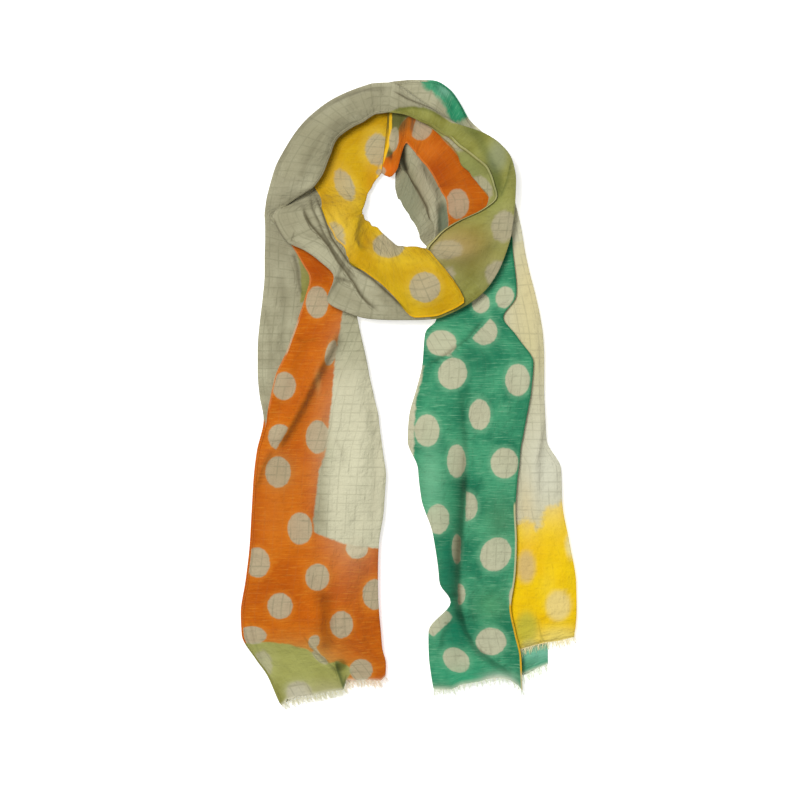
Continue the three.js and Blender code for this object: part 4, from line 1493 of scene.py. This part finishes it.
class Graph:
    """A new material and its nodes."""

    def __init__(self, name: str) -> None:
        """Makes the material, without nodes.

        Args:
            name: The material's name.
        """
        self.material = bpy.data.materials.new(name)
        self.material.use_nodes = True
        self.tree = self.material.node_tree
        self.tree.nodes.clear()

    def node(
        self, kind: str, settings: dict[str, str], inputs: dict[str | int, Input]
    ) -> bpy.types.Node:
        """Adds one node.

        Args:
            kind: The node's type.
            settings: Its settings, set before its sockets.
            inputs: Socket names or numbers, with values or links.

        Returns:
            The node.
        """
        node = self.tree.nodes.new(kind)
        for name, setting in settings.items():
            setattr(node, name, setting)
        for name, value in inputs.items():
            source = value.socket if isinstance(value, Value) else value
            if isinstance(source, Socket):
                self.tree.links.new(source, node.inputs[name])
            else:
                node.inputs[name].default_value = source
        return node

    def attribute(self, name: str) -> Value:
        """A number held on the mesh."""
        node = self.node("ShaderNodeAttribute", {"attribute_name": name}, {})
        return Value(self, node.outputs["Fac"])

    def tint(self, name: str) -> tuple[Socket, Value]:
        """A colour held on the mesh, and its alpha."""
        node = self.node("ShaderNodeAttribute", {"attribute_name": name}, {})
        return node.outputs["Color"], Value(self, node.outputs["Alpha"])

    def vector(self, x: Input, y: Input, z: Input) -> Socket:
        """A vector from three values."""
        return self.node("ShaderNodeCombineXYZ", {}, {0: x, 1: y, 2: z}).outputs[0]

    def noise(self, place: Socket, scale: float, detail: float = 2.0, rough: float = 0.5) -> Value:
        """Soft noise between about 0 and 1."""
        inputs = {"Vector": place, "Scale": scale, "Detail": detail, "Roughness": rough}
        return Value(self, self.node("ShaderNodeTexNoise", {}, inputs).outputs["Fac"])

    def mix(self, share: Input, a: Input, b: Input, blend: str = "MIX") -> Socket:
        """A mix of two colours."""
        settings = {"data_type": "RGBA", "blend_type": blend}
        return self.node("ShaderNodeMix", settings, {0: share, 6: a, 7: b}).outputs[2]

    def finish(self, inputs: dict[str, Input]) -> bpy.types.Material:
        """Ends the material with one Principled shader.

        Args:
            inputs: The shader's sockets, with values or links.

        Returns:
            The material.
        """
        shader = self.node("ShaderNodeBsdfPrincipled", {}, inputs)
        self.node("ShaderNodeOutputMaterial", {}, {"Surface": shader.outputs[0]})
        return self.material


@dataclass(frozen=True)
class DyeTone:
    """A dye's main tone, a deeper and a lighter one, its paling at dots, its slubs."""

    main: Colour
    deep: Colour
    light: Colour
    halo: float
    slub: float


TONES = {
    Dye.GOLD: DyeTone(colour(218, 178, 24), colour(200, 154, 6), colour(232, 198, 76), 0.35, 0.16),
    Dye.ORANGE: DyeTone(colour(207, 107, 6), colour(191, 90, 2), colour(224, 140, 42), 0.28, 0.6),
    Dye.YELLOW: DyeTone(colour(255, 214, 8), colour(250, 200, 2), colour(255, 224, 60), 0.2, 0.12),
    Dye.GREEN: DyeTone(colour(74, 162, 118), colour(32, 124, 88), colour(134, 194, 152), 0.32, 0.6),
    Dye.OLIVE: DyeTone(colour(156, 156, 82), colour(134, 132, 58), colour(180, 180, 116), 0.35, 0.2),
}


@dataclass(frozen=True)
class Weave:
    """The values of the woven ground that several parts of the finish share.

    Mottle is a soft unevenness, streak and cross are slubs along the weft and the warp,
    ragged is how far a dyed edge strays in millimetres, and panes are the dark threads
    of the check.
    """

    warp: Value
    weft: Value
    flat: Socket
    mottle: Value
    streak: Value
    cross: Value
    ragged: Value
    panes: Value


@dataclass(frozen=True)
class ClothFinish:
    """The printed cloth: stone ground, windowpane threads, dyes and bare dots."""

    ground: Colour = colour(183, 179, 148)
    ground_deep: Colour = colour(161, 156, 126)
    sheer: Colour = colour(215, 211, 179)
    bare: Colour = colour(186, 176, 145)
    thread: Colour = colour(128, 126, 98)
    # Colours the cloth is multiplied by as painted shade at the feet of the pleats, on bare stone and
    # on dyed cloth.
    painted_crease_shade: Colour = (0.20, 0.17, 0.11, 1.0)
    dyed_painted_crease_shade: Colour = (0.20, 0.30, 0.26, 1.0)
    rim: Colour = colour(250, 196, 24)
    rim_share: float = 0.9
    rim_band: Point = (1.9, 0.9)
    pane: float = 9.0
    drift: float = 3.5
    drift_scale: Point = (0.03, 0.003)
    pane_band: Point = (0.78, 1.0)
    half_pane_turn: float = 1.62
    half_pane_start: float = 1.3
    half_pane_band: Point = (0.92, 1.0)
    half_pane_share: float = 0.5
    broken_scale: Point = (0.3, 0.05)
    broken_band: Point = (0.32, 0.6)
    mottle_scale: float = 0.026
    mottle_band: Point = (0.35, 0.65)
    slub_scale: Point = (0.06, 0.8)
    slub_noise: Point = (3.0, 0.65)
    soft_noise: Point = (4.0, 0.6)
    fray: float = 3.6
    fray_scale: float = 0.2
    dye_band: Point = (0.34, 0.62)
    dye_fray: float = 0.8
    dye_edge: Point = (-1.2, 1.2)
    deep_slub: Point = (0.5, 0.68)
    light_slub: Point = (0.47, 0.3)
    halo_band: Point = (6.0, 0.5)
    dot_fray: float = 0.55
    dot_edge: Point = (0.9, -0.9)
    dot_stone: float = 0.4
    dot_sheer: float = 0.8
    dot_tone_and_shading: float = 0.5
    dot_cover: float = 0.88
    slub_share: float = 0.35
    streak_band: Point = (0.56, 0.78)
    cross_band: Point = (0.58, 0.8)
    line_share: float = 0.34
    dyed_slubs: float = 0.04
    dyed_panes: float = 0.05
    sheer_clear: float = 0.45
    hem_band: Point = (1.7, 0.8)
    weave_step: float = 5.2
    crumple_scale: float = 0.085
    roughness: float = 0.84

    def panes(self, graph: Graph, across: Value, along: Value, seed: float) -> Value:
        """Thin slub threads at one pane's spacing across a coordinate.

        Args:
            graph: The material's nodes.
            across: Millimetres across the threads.
            along: Millimetres along them.
            seed: Shifts the pattern.

        Returns:
            How strongly a thread shows, from 0 to 1.
        """
        wide, long = self.drift_scale
        drift = graph.noise(graph.vector(across * wide, along * long, seed), 1.0, 1.0)
        turns = (across + drift * self.drift) * (2 * math.pi / self.pane)
        half = (turns * self.half_pane_turn + self.half_pane_start).wave()
        half = half.step(*self.half_pane_band) * self.half_pane_share
        wide, long = self.broken_scale
        broken = graph.noise(graph.vector(across * wide, along * long, seed + 3), 1.0, 2.0)
        line = turns.wave().step(*self.pane_band).highest(half)
        return line * broken.step(*self.broken_band)

    def weave(self, graph: Graph) -> Weave:
        """Makes the woven ground.

        Args:
            graph: The material's nodes.

        Returns:
            The values that the other parts share.
        """
        warp, weft = graph.attribute("warp"), graph.attribute("weft")
        flat = graph.vector(warp, weft, 0.0)
        long, short = self.slub_scale
        streak = graph.noise(graph.vector(warp * long, weft * short, 4.0), 1.0, *self.slub_noise)
        cross = graph.noise(graph.vector(warp * short, weft * long, 9.0), 1.0, *self.slub_noise)
        panes = self.panes(graph, warp, weft, 1.0).highest(self.panes(graph, weft, warp, 7.0))
        ragged = graph.noise(flat, self.fray_scale, 3.0) * self.fray - self.fray / 2
        mottle = graph.noise(flat, self.mottle_scale, *self.soft_noise)
        return Weave(warp, weft, flat, mottle, streak, cross, ragged, panes)

    def dyed(self, graph: Graph, weave: Weave, stone: Socket) -> tuple[Socket, Value]:
        """Lays the dyes over the stone ground.

        Args:
            graph: The material's nodes.
            weave: The values of the woven ground.
            stone: The ground's colour.

        Returns:
            The colour, and where the cloth is dyed.
        """
        halo = graph.attribute("dot").step(*self.halo_band)
        dark, pale = weave.streak.step(*self.deep_slub), weave.streak.step(*self.light_slub)
        mottle = weave.mottle.step(*self.dye_band)
        cloth, dyed = stone, None
        for dye, tone in TONES.items():
            edge = (graph.attribute(dye.value) + weave.ragged * self.dye_fray).step(*self.dye_edge)
            patch = graph.mix(mottle, tone.deep, tone.main)
            patch = graph.mix(dark * tone.slub, patch, tone.deep)
            patch = graph.mix(pale * tone.slub, patch, tone.light)
            patch = graph.mix(halo * tone.halo, patch, tone.light)
            cloth = graph.mix(edge, cloth, patch)
            dyed = edge if dyed is None else dyed.highest(edge)
        return cloth, dyed

    def printed(self, graph: Graph, weave: Weave) -> tuple[Socket, Value]:
        """The cloth with its dyes, its patches of tone and painted shading, and its dots.

        Args:
            graph: The material's nodes.
            weave: The values of the woven ground.

        Returns:
            The colour, and where the ground is bare.
        """
        mottle = weave.mottle.step(*self.mottle_band)
        sheer = graph.attribute("sheer")
        stone = graph.mix(mottle, self.ground_deep, self.ground)
        stone = graph.mix(sheer, stone, self.sheer)
        cloth, dyed = self.dyed(graph, weave, stone)
        tone_and_shading, strength = graph.tint("tone_and_shading")
        cloth = graph.mix(strength, cloth, tone_and_shading)
        gold = graph.attribute(Dye.GOLD.value)
        rim = gold.highest(gold * -1.0).step(*self.rim_band)
        cloth = graph.mix(rim * self.rim_share, cloth, self.rim)
        bare = graph.mix(mottle * self.dot_stone, self.bare, stone)
        bare = graph.mix(sheer * self.dot_sheer, bare, self.sheer)
        bare = graph.mix(strength * self.dot_tone_and_shading, bare, tone_and_shading)
        spots = (graph.attribute("dot") + weave.ragged * self.dot_fray).step(*self.dot_edge)
        return graph.mix(spots * self.dot_cover, cloth, bare), 1.0 - dyed * (1.0 - spots)

    def threaded(self, graph: Graph, weave: Weave, cloth: Socket, ground: Value) -> Socket:
        """Adds the slubs, the check, the hems and the painted shade at the feet of the pleats.

        Args:
            graph: The material's nodes.
            weave: The values of the woven ground.
            cloth: The printed cloth's colour.
            ground: Where its ground is bare.

        Returns:
            The finished colour.
        """
        slub = weave.streak.step(*self.streak_band) * self.slub_share
        slub = slub + weave.cross.step(*self.cross_band) * self.slub_share
        shown = ground * self.line_share
        cloth = graph.mix(slub * (shown + self.dyed_slubs), cloth, self.thread)
        panes = weave.panes * (1.0 - graph.attribute("sheer") * self.sheer_clear)
        cloth = graph.mix(panes * (shown + self.dyed_panes), cloth, self.thread)
        edging, edged = graph.tint("edging")
        cloth = graph.mix(graph.attribute("hem").step(*self.hem_band) * edged, cloth, edging)
        # Painted shade: the colour is multiplied darker at each pleat's foot.
        painted_crease_shade = graph.mix(ground, self.dyed_painted_crease_shade, self.painted_crease_shade)
        for channel in range(CHANNELS):
            foot = graph.attribute(f"foot_{channel}")
            shade = graph.attribute(f"shade_{channel}") * (foot * foot * -1.0).exponent()
            cloth = graph.mix(shade, cloth, painted_crease_shade, "MULTIPLY")
        return cloth

    def bump(self, graph: Graph, weave: Weave) -> Socket:
        """The small relief of the yarns over the cloth's soft crumple.

        Args:
            graph: The material's nodes.
            weave: The values of the woven ground.

        Returns:
            The bent normal.
        """
        yarns = (weave.warp * self.weave_step).wave() * (weave.weft * self.weave_step).wave()
        fine = weave.streak * 0.6 + weave.cross * 0.5 + yarns * 0.16 + weave.panes * 0.5
        small = {"Strength": 0.35, "Distance": 0.0005, "Height": fine}
        normal = graph.node("ShaderNodeBump", {}, small).outputs[0]
        crumple = graph.noise(weave.flat, self.crumple_scale, *self.soft_noise)
        large = {"Strength": 0.7, "Distance": 0.005, "Height": crumple, "Normal": normal}
        return graph.node("ShaderNodeBump", {}, large).outputs[0]

    def material(self) -> bpy.types.Material:
        """Makes the cloth's material.

        Returns:
            The material.
        """
        graph = Graph("printed_cloth")
        weave = self.weave(graph)
        cloth, ground = self.printed(graph, weave)
        return graph.finish({
            "Base Color": self.threaded(graph, weave, cloth, ground),
            "Roughness": self.roughness - ground * 0.04 + weave.streak * 0.08,
            "Normal": self.bump(graph, weave),
            "Specular IOR Level": 0.15,
            "Sheen Weight": 0.08,
            "Sheen Roughness": 0.5,
        })


@dataclass(frozen=True)
class ThreadFinish:
    """Loose threads, tinted at each root as the cloth there is, and paler where worn. They glow
    faintly, a painted light that lifts their shade.
    """

    name: str
    worn: Colour = colour(226, 220, 196)
    worn_share: float = 0.35
    worn_scale: float = 900.0
    worn_band: Point = (0.3, 0.8)
    roughness: float = 0.85
    # A faint painted glow in the threads' own tone, lifting their shade.
    glow: float = 0.22

    def material(self) -> bpy.types.Material:
        """Makes the threads' material.

        Returns:
            The material.
        """
        graph = Graph(self.name)
        tint, _ = graph.tint("tint")
        place = graph.node("ShaderNodeTexCoord", {}, {}).outputs["Object"]
        worn = graph.noise(place, self.worn_scale).step(*self.worn_band)
        tone = graph.mix(worn * self.worn_share, tint, self.worn)
        return graph.finish({
            "Base Color": tone,
            "Roughness": self.roughness,
            "Specular IOR Level": 0.2,
            "Emission Color": tone,
            "Emission Strength": self.glow,
        })


@dataclass(frozen=True)
class FloorFinish:
    """The plain pale floor, lit a little from itself."""

    tone: Colour = (0.93, 0.93, 0.93, 1.0)
    light: Colour = (1.0, 1.0, 1.0, 1.0)
    roughness: float = 0.9
    glow: float = 0.5

    def material(self) -> bpy.types.Material:
        """Makes the floor's material.

        Returns:
            The material.
        """
        return Graph("floor").finish({
            "Base Color": self.tone,
            "Roughness": self.roughness,
            "Specular IOR Level": 0.1,
            "Emission Color": self.light,
            "Emission Strength": self.glow,
        })


def add_object(
    name: str, points: Grid, faces: list[tuple[int, ...]], material: bpy.types.Material
) -> bpy.types.Object:
    """Adds a smooth mesh object to the scene.

    Args:
        name: The object's name.
        points: Points in metres.
        faces: Point numbers of each face.
        material: Its one material.

    Returns:
        The object.
    """
    mesh = bpy.data.meshes.new(name)
    mesh.from_pydata(points.tolist(), [], faces)
    mesh.polygons.foreach_set("use_smooth", np.ones(len(mesh.polygons), bool))
    mesh.materials.append(material)
    mesh.update()
    made = bpy.data.objects.new(name, mesh)
    bpy.context.scene.collection.objects.link(made)
    return made


def hold(made: bpy.types.Object, name: str, values: Grid) -> None:
    """Holds a number or a colour with alpha at each point of an object.

    Args:
        made: The object.
        name: The attribute's name.
        values: One number or four for each point.
    """
    tint = values.shape[-1] == 4
    kind, key = ("FLOAT_COLOR", "color") if tint else ("FLOAT", "value")
    layer = made.data.attributes.new(name, kind, "POINT")
    layer.data.foreach_set(key, np.ascontiguousarray(values, np.float32).ravel())


def to_metres(x: Grid, y: Grid, z: Grid) -> Grid:
    """Points in metres from drawing millimetres."""
    return np.stack([x - CENTRE_X, CENTRE_Y - y, z], axis=-1) / 1000


@dataclass
class ScarfCloth:
    """The one printed sheet, folded and wound. Its flat size is in metres."""

    flat_width: float = 0.50
    flat_length: float = 1.72
    strip: FoldedStrip = field(default_factory=FoldedStrip)
    finish: ClothFinish = field(default_factory=ClothFinish)
    root_tone: Colour = colour(242, 240, 220)
    root_fade: float = 0.72
    surface: Surface | None = None
    layers: dict[str, Grid] = field(default_factory=dict)

    def build(self) -> bpy.types.Object:
        """Makes the sheet's mesh with its print held at each point.

        Returns:
            The sheet's object.
        """
        self.strip.lay()
        surface = self.surface = Drape(self.strip).lay()
        self.layers = Print(surface).layers()
        index = np.arange(surface.x.size).reshape(surface.x.shape)
        corners = (index[:-1, :-1], index[:-1, 1:], index[1:, 1:], index[1:, :-1])
        faces = np.stack([c.ravel() for c in corners], axis=1).tolist()
        points = to_metres(surface.x, surface.y, surface.z).reshape(-1, 3)
        made = add_object("scarf_sheet", points, faces, self.finish.material())
        for name, values in self.layers.items():
            hold(made, name, values)
        LOG.info("scarf_sheet: %d sections of %d points", *surface.x.shape)
        return made

    def root_colours(self, end: int) -> Grid:
        """The threads' colour at each point of one end's edge.

        Args:
            end: The edge's section, 0 or -1.

        Returns:
            A colour for each point.
        """
        tones = np.tile(np.array(self.finish.ground), (self.surface.x.shape[1], 1))
        for dye in Dye:
            tones[self.layers[dye.value][end] > 0] = TONES[dye].light
        tones[self.layers["dot"][end] < 0] = self.finish.bare
        return tones * (1 - self.root_fade) + np.array(self.root_tone) * self.root_fade


@dataclass
class Fringe:
    """The loose threads at one end of the strip, in small gathered tufts."""

    name: str
    node: str
    slot: str
    end: int
    seed: int
    spacing: float = 0.55
    scatter: float = 0.25
    length: float = 8.5
    radius: float = 0.24
    taper: float = 0.45
    overlap: float = 0.8
    sag: float = 0.75
    lowest: float = 0.2
    joints: int = 4
    sides: int = 3
    tuft: float = 5.5
    tuft_wander: float = 1.7
    tuft_step: float = 7.3
    gather: float = -0.28
    lean_keep: float = 0.86
    lean_step: float = 0.09
    own_turn: float = 0.1
    own_bend: float = 0.16
    shortest: float = 0.5
    tufted: float = 0.5
    uneven: float = 0.35
    ripple: float = 0.3
    ripple_turn: float = 3.0
    first: float = 0.3
    between_tufts: float = 0.3
    in_tufts: float = 0.65
    flattest: float = 0.2
    back_rows: int = 3

    def thread(self, start: Grid, outward: Grid, turn: float, bend: float, reach: float) -> Grid:
        """One thread's rings.

        Args:
            start: Its root on the cloth's edge, in drawing millimetres.
            outward: The end's plan direction.
            turn: How far it leans from that direction.
            bend: How much it bends on the way.
            reach: Its length.

        Returns:
            Rows of points, as many for each ring as the thread has sides.
        """
        side = np.array([-outward[1], outward[0]])
        plan = start[:2] - outward * self.overlap
        height = start[2]
        rings = []
        for joint in range(self.joints + 1):
            share = joint / self.joints
            if joint:
                angle = turn + bend * share
                plan = plan + (outward * math.cos(angle) + side * math.sin(angle)) * reach / self.joints
                ripple = self.ripple * math.sin(self.ripple_turn * share + turn)
                height = max(self.lowest, start[2] * (1 - self.sag * share**2) + ripple)
            size = self.radius * (1 - self.taper * share)
            for corner in range(self.sides):
                around = 2 * math.pi * corner / self.sides
                ring = plan + side * math.cos(around) * size
                rings.append((ring[0], ring[1], height + math.sin(around) * size))
        return np.array(rings)

    def faces(self, base: int) -> list[tuple[int, ...]]:
        """The faces of one thread.

        Args:
            base: The number of its first point.

        Returns:
            Point numbers of each face.
        """
        made: list[tuple[int, ...]] = []
        n = self.sides
        for ring in range(base, base + n * self.joints, n):
            for corner in range(n):
                a, b = ring + corner, ring + (corner + 1) % n
                made.append((a, b, b + n, a + n))
        tip = base + n * self.joints
        return made + [tuple(range(base + n - 1, base - 1, -1)), tuple(range(tip, tip + n))]

    def build(self, cloth: ScarfCloth) -> bpy.types.Object:
        """Makes every thread of the fringe.

        Args:
            cloth: The built cloth.

        Returns:
            The fringe's object.
        """
        surface = cloth.surface
        places = np.stack([surface.x, surface.y, surface.z], axis=-1)
        edge = places[self.end]
        back = self.back_rows if self.end == 0 else -self.back_rows
        plan = edge - places[self.end + back]
        plan = plan[:, :2].mean(axis=0)
        outward = plan / np.hypot(*plan)
        colours = cloth.root_colours(self.end)
        random = np.random.default_rng(self.seed)
        gaps = np.linalg.norm(np.diff(edge, axis=0), axis=1)
        walked = np.pad(np.cumsum(gaps), (1, 0))
        level = surface.level[self.end]
        roots = np.arange(self.first, walked[-1], self.spacing)
        roots = roots + random.uniform(-self.scatter, self.scatter, len(roots))
        points: list[Grid] = []
        tints: list[Grid] = []
        faces: list[tuple[int, ...]] = []
        lean = 0.0
        for root in roots:
            tuft = 2 * math.pi * root / self.tuft
            tuft += self.tuft_wander * math.sin(root / self.tuft_step)
            full = 0.5 + 0.5 * math.sin(tuft)
            lean = self.lean_keep * lean + random.normal(0.0, self.lean_step)
            chance, turn = random.random(), random.normal()
            bend, share = random.normal(), random.random()
            k = int(np.clip(np.searchsorted(walked, root) - 1, 0, len(edge) - 2))
            kept = chance <= self.between_tufts + self.in_tufts * full
            if abs(level[k + 1] - level[k]) > self.flattest or not kept:
                continue
            t = (root - walked[k]) / max(gaps[k], 1e-6)
            start = edge[k] * (1 - t) + edge[k + 1] * t
            turn = lean + self.gather * math.cos(tuft) + self.own_turn * turn
            reach = self.length * (self.shortest + self.tufted * full + self.uneven * share)
            rings = self.thread(start, outward, turn, self.own_bend * bend, reach)
            faces += self.faces(len(rings) * len(points))
            points.append(rings)
            tints += [colours[k]] * len(rings)
        flat = to_metres(*np.concatenate(points).T)
        made = add_object(self.name, flat, faces, ThreadFinish(self.slot).material())
        hold(made, "tint", np.array(tints))
        LOG.info("%s: %d threads", self.name, len(points))
        return made


@dataclass(frozen=True)
class Panel:
    """A square light that faces the scarf's middle, in metres and watts."""

    name: str
    place: tuple[float, float, float]
    size: float
    power: float

    def hang(self) -> None:
        """Adds the light."""
        data = bpy.data.lights.new(self.name, "AREA")
        data.shape = "SQUARE"
        data.size = self.size
        data.energy = self.power
        made = bpy.data.objects.new(self.name, data)
        made.location = self.place
        x, y, z = self.place
        tilt = math.atan2(math.hypot(x, y), z)
        made.rotation_euler = (tilt, 0.0, math.atan2(-y, -x) - math.pi / 2)
        bpy.context.scene.collection.objects.link(made)
        LOG.info("light %s: %.0f W", self.name, self.power)


@dataclass
class Studio:
    """The floor, lights and camera, in metres."""

    height: float = 2.6
    field: float = 0.8
    sensor: float = 36.0
    focus_level: float = 0.018
    clip: Point = (0.05, 20.0)
    floor_size: float = 6.0
    panels: tuple[Panel, ...] = (
        Panel("key", (-0.62, 0.5, 2.15), 0.8, 40.0),
        Panel("fill", (1.5, -0.6, 1.7), 1.6, 5.0),
    )
    sky: Colour = (1.0, 1.0, 1.0, 1.0)
    sky_strength: float = 0.24

    def camera(self) -> None:
        """Sets the camera straight above the scarf, with the drawing's framing."""
        data = bpy.data.cameras.new("camera")
        data.sensor_width = self.sensor
        data.lens = self.sensor * (self.height - self.focus_level) / self.field
        data.clip_start, data.clip_end = self.clip
        made = bpy.data.objects.new("camera", data)
        x, y = (FRAME_MIDDLE - CENTRE_X) / 1000, (CENTRE_Y - FRAME_MIDDLE) / 1000
        made.location = (x, y, self.height)
        bpy.context.scene.collection.objects.link(made)
        bpy.context.scene.camera = made

    def floor(self) -> None:
        """Lays the plain pale floor."""
        half = self.floor_size / 2
        corners = np.array([(-half, -half, 0), (half, -half, 0), (half, half, 0), (-half, half, 0)])
        add_object("floor", corners, [(0, 1, 2, 3)], FloorFinish().material())
        LOG.info("floor: %.1f m square", self.floor_size)

    def lights(self) -> None:
        """Hangs the panels and lifts the surroundings a little."""
        for panel in self.panels:
            panel.hang()
        world = bpy.data.worlds.new("surroundings")
        bpy.context.scene.world = world
        world.use_nodes = True
        background = world.node_tree.nodes["Background"]
        background.inputs[0].default_value = self.sky
        background.inputs[1].default_value = self.sky_strength
        bpy.context.scene.view_settings.view_transform = "Standard"


def main() -> None:
    """Builds the scarf and its studio, in order."""
    logging.basicConfig(level=logging.INFO, format="%(name)s: %(message)s")
    studio = Studio()
    studio.camera()
    cloth = ScarfCloth()
    sheet = cloth.build()
    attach(sheet, "root")
    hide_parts("scarf_cloth")
    for fringe in (
        Fringe("left_threads", "fringe_left_end", "orange_threads", 0, 21),
        Fringe("right_threads", "fringe_right_end", "green_threads", -1, 22),
    ):
        made = fringe.build(cloth)
        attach(made, "root")
        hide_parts(fringe.node)
    studio.floor()
    studio.lights()
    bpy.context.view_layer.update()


if __name__ == "__main__":
    main()
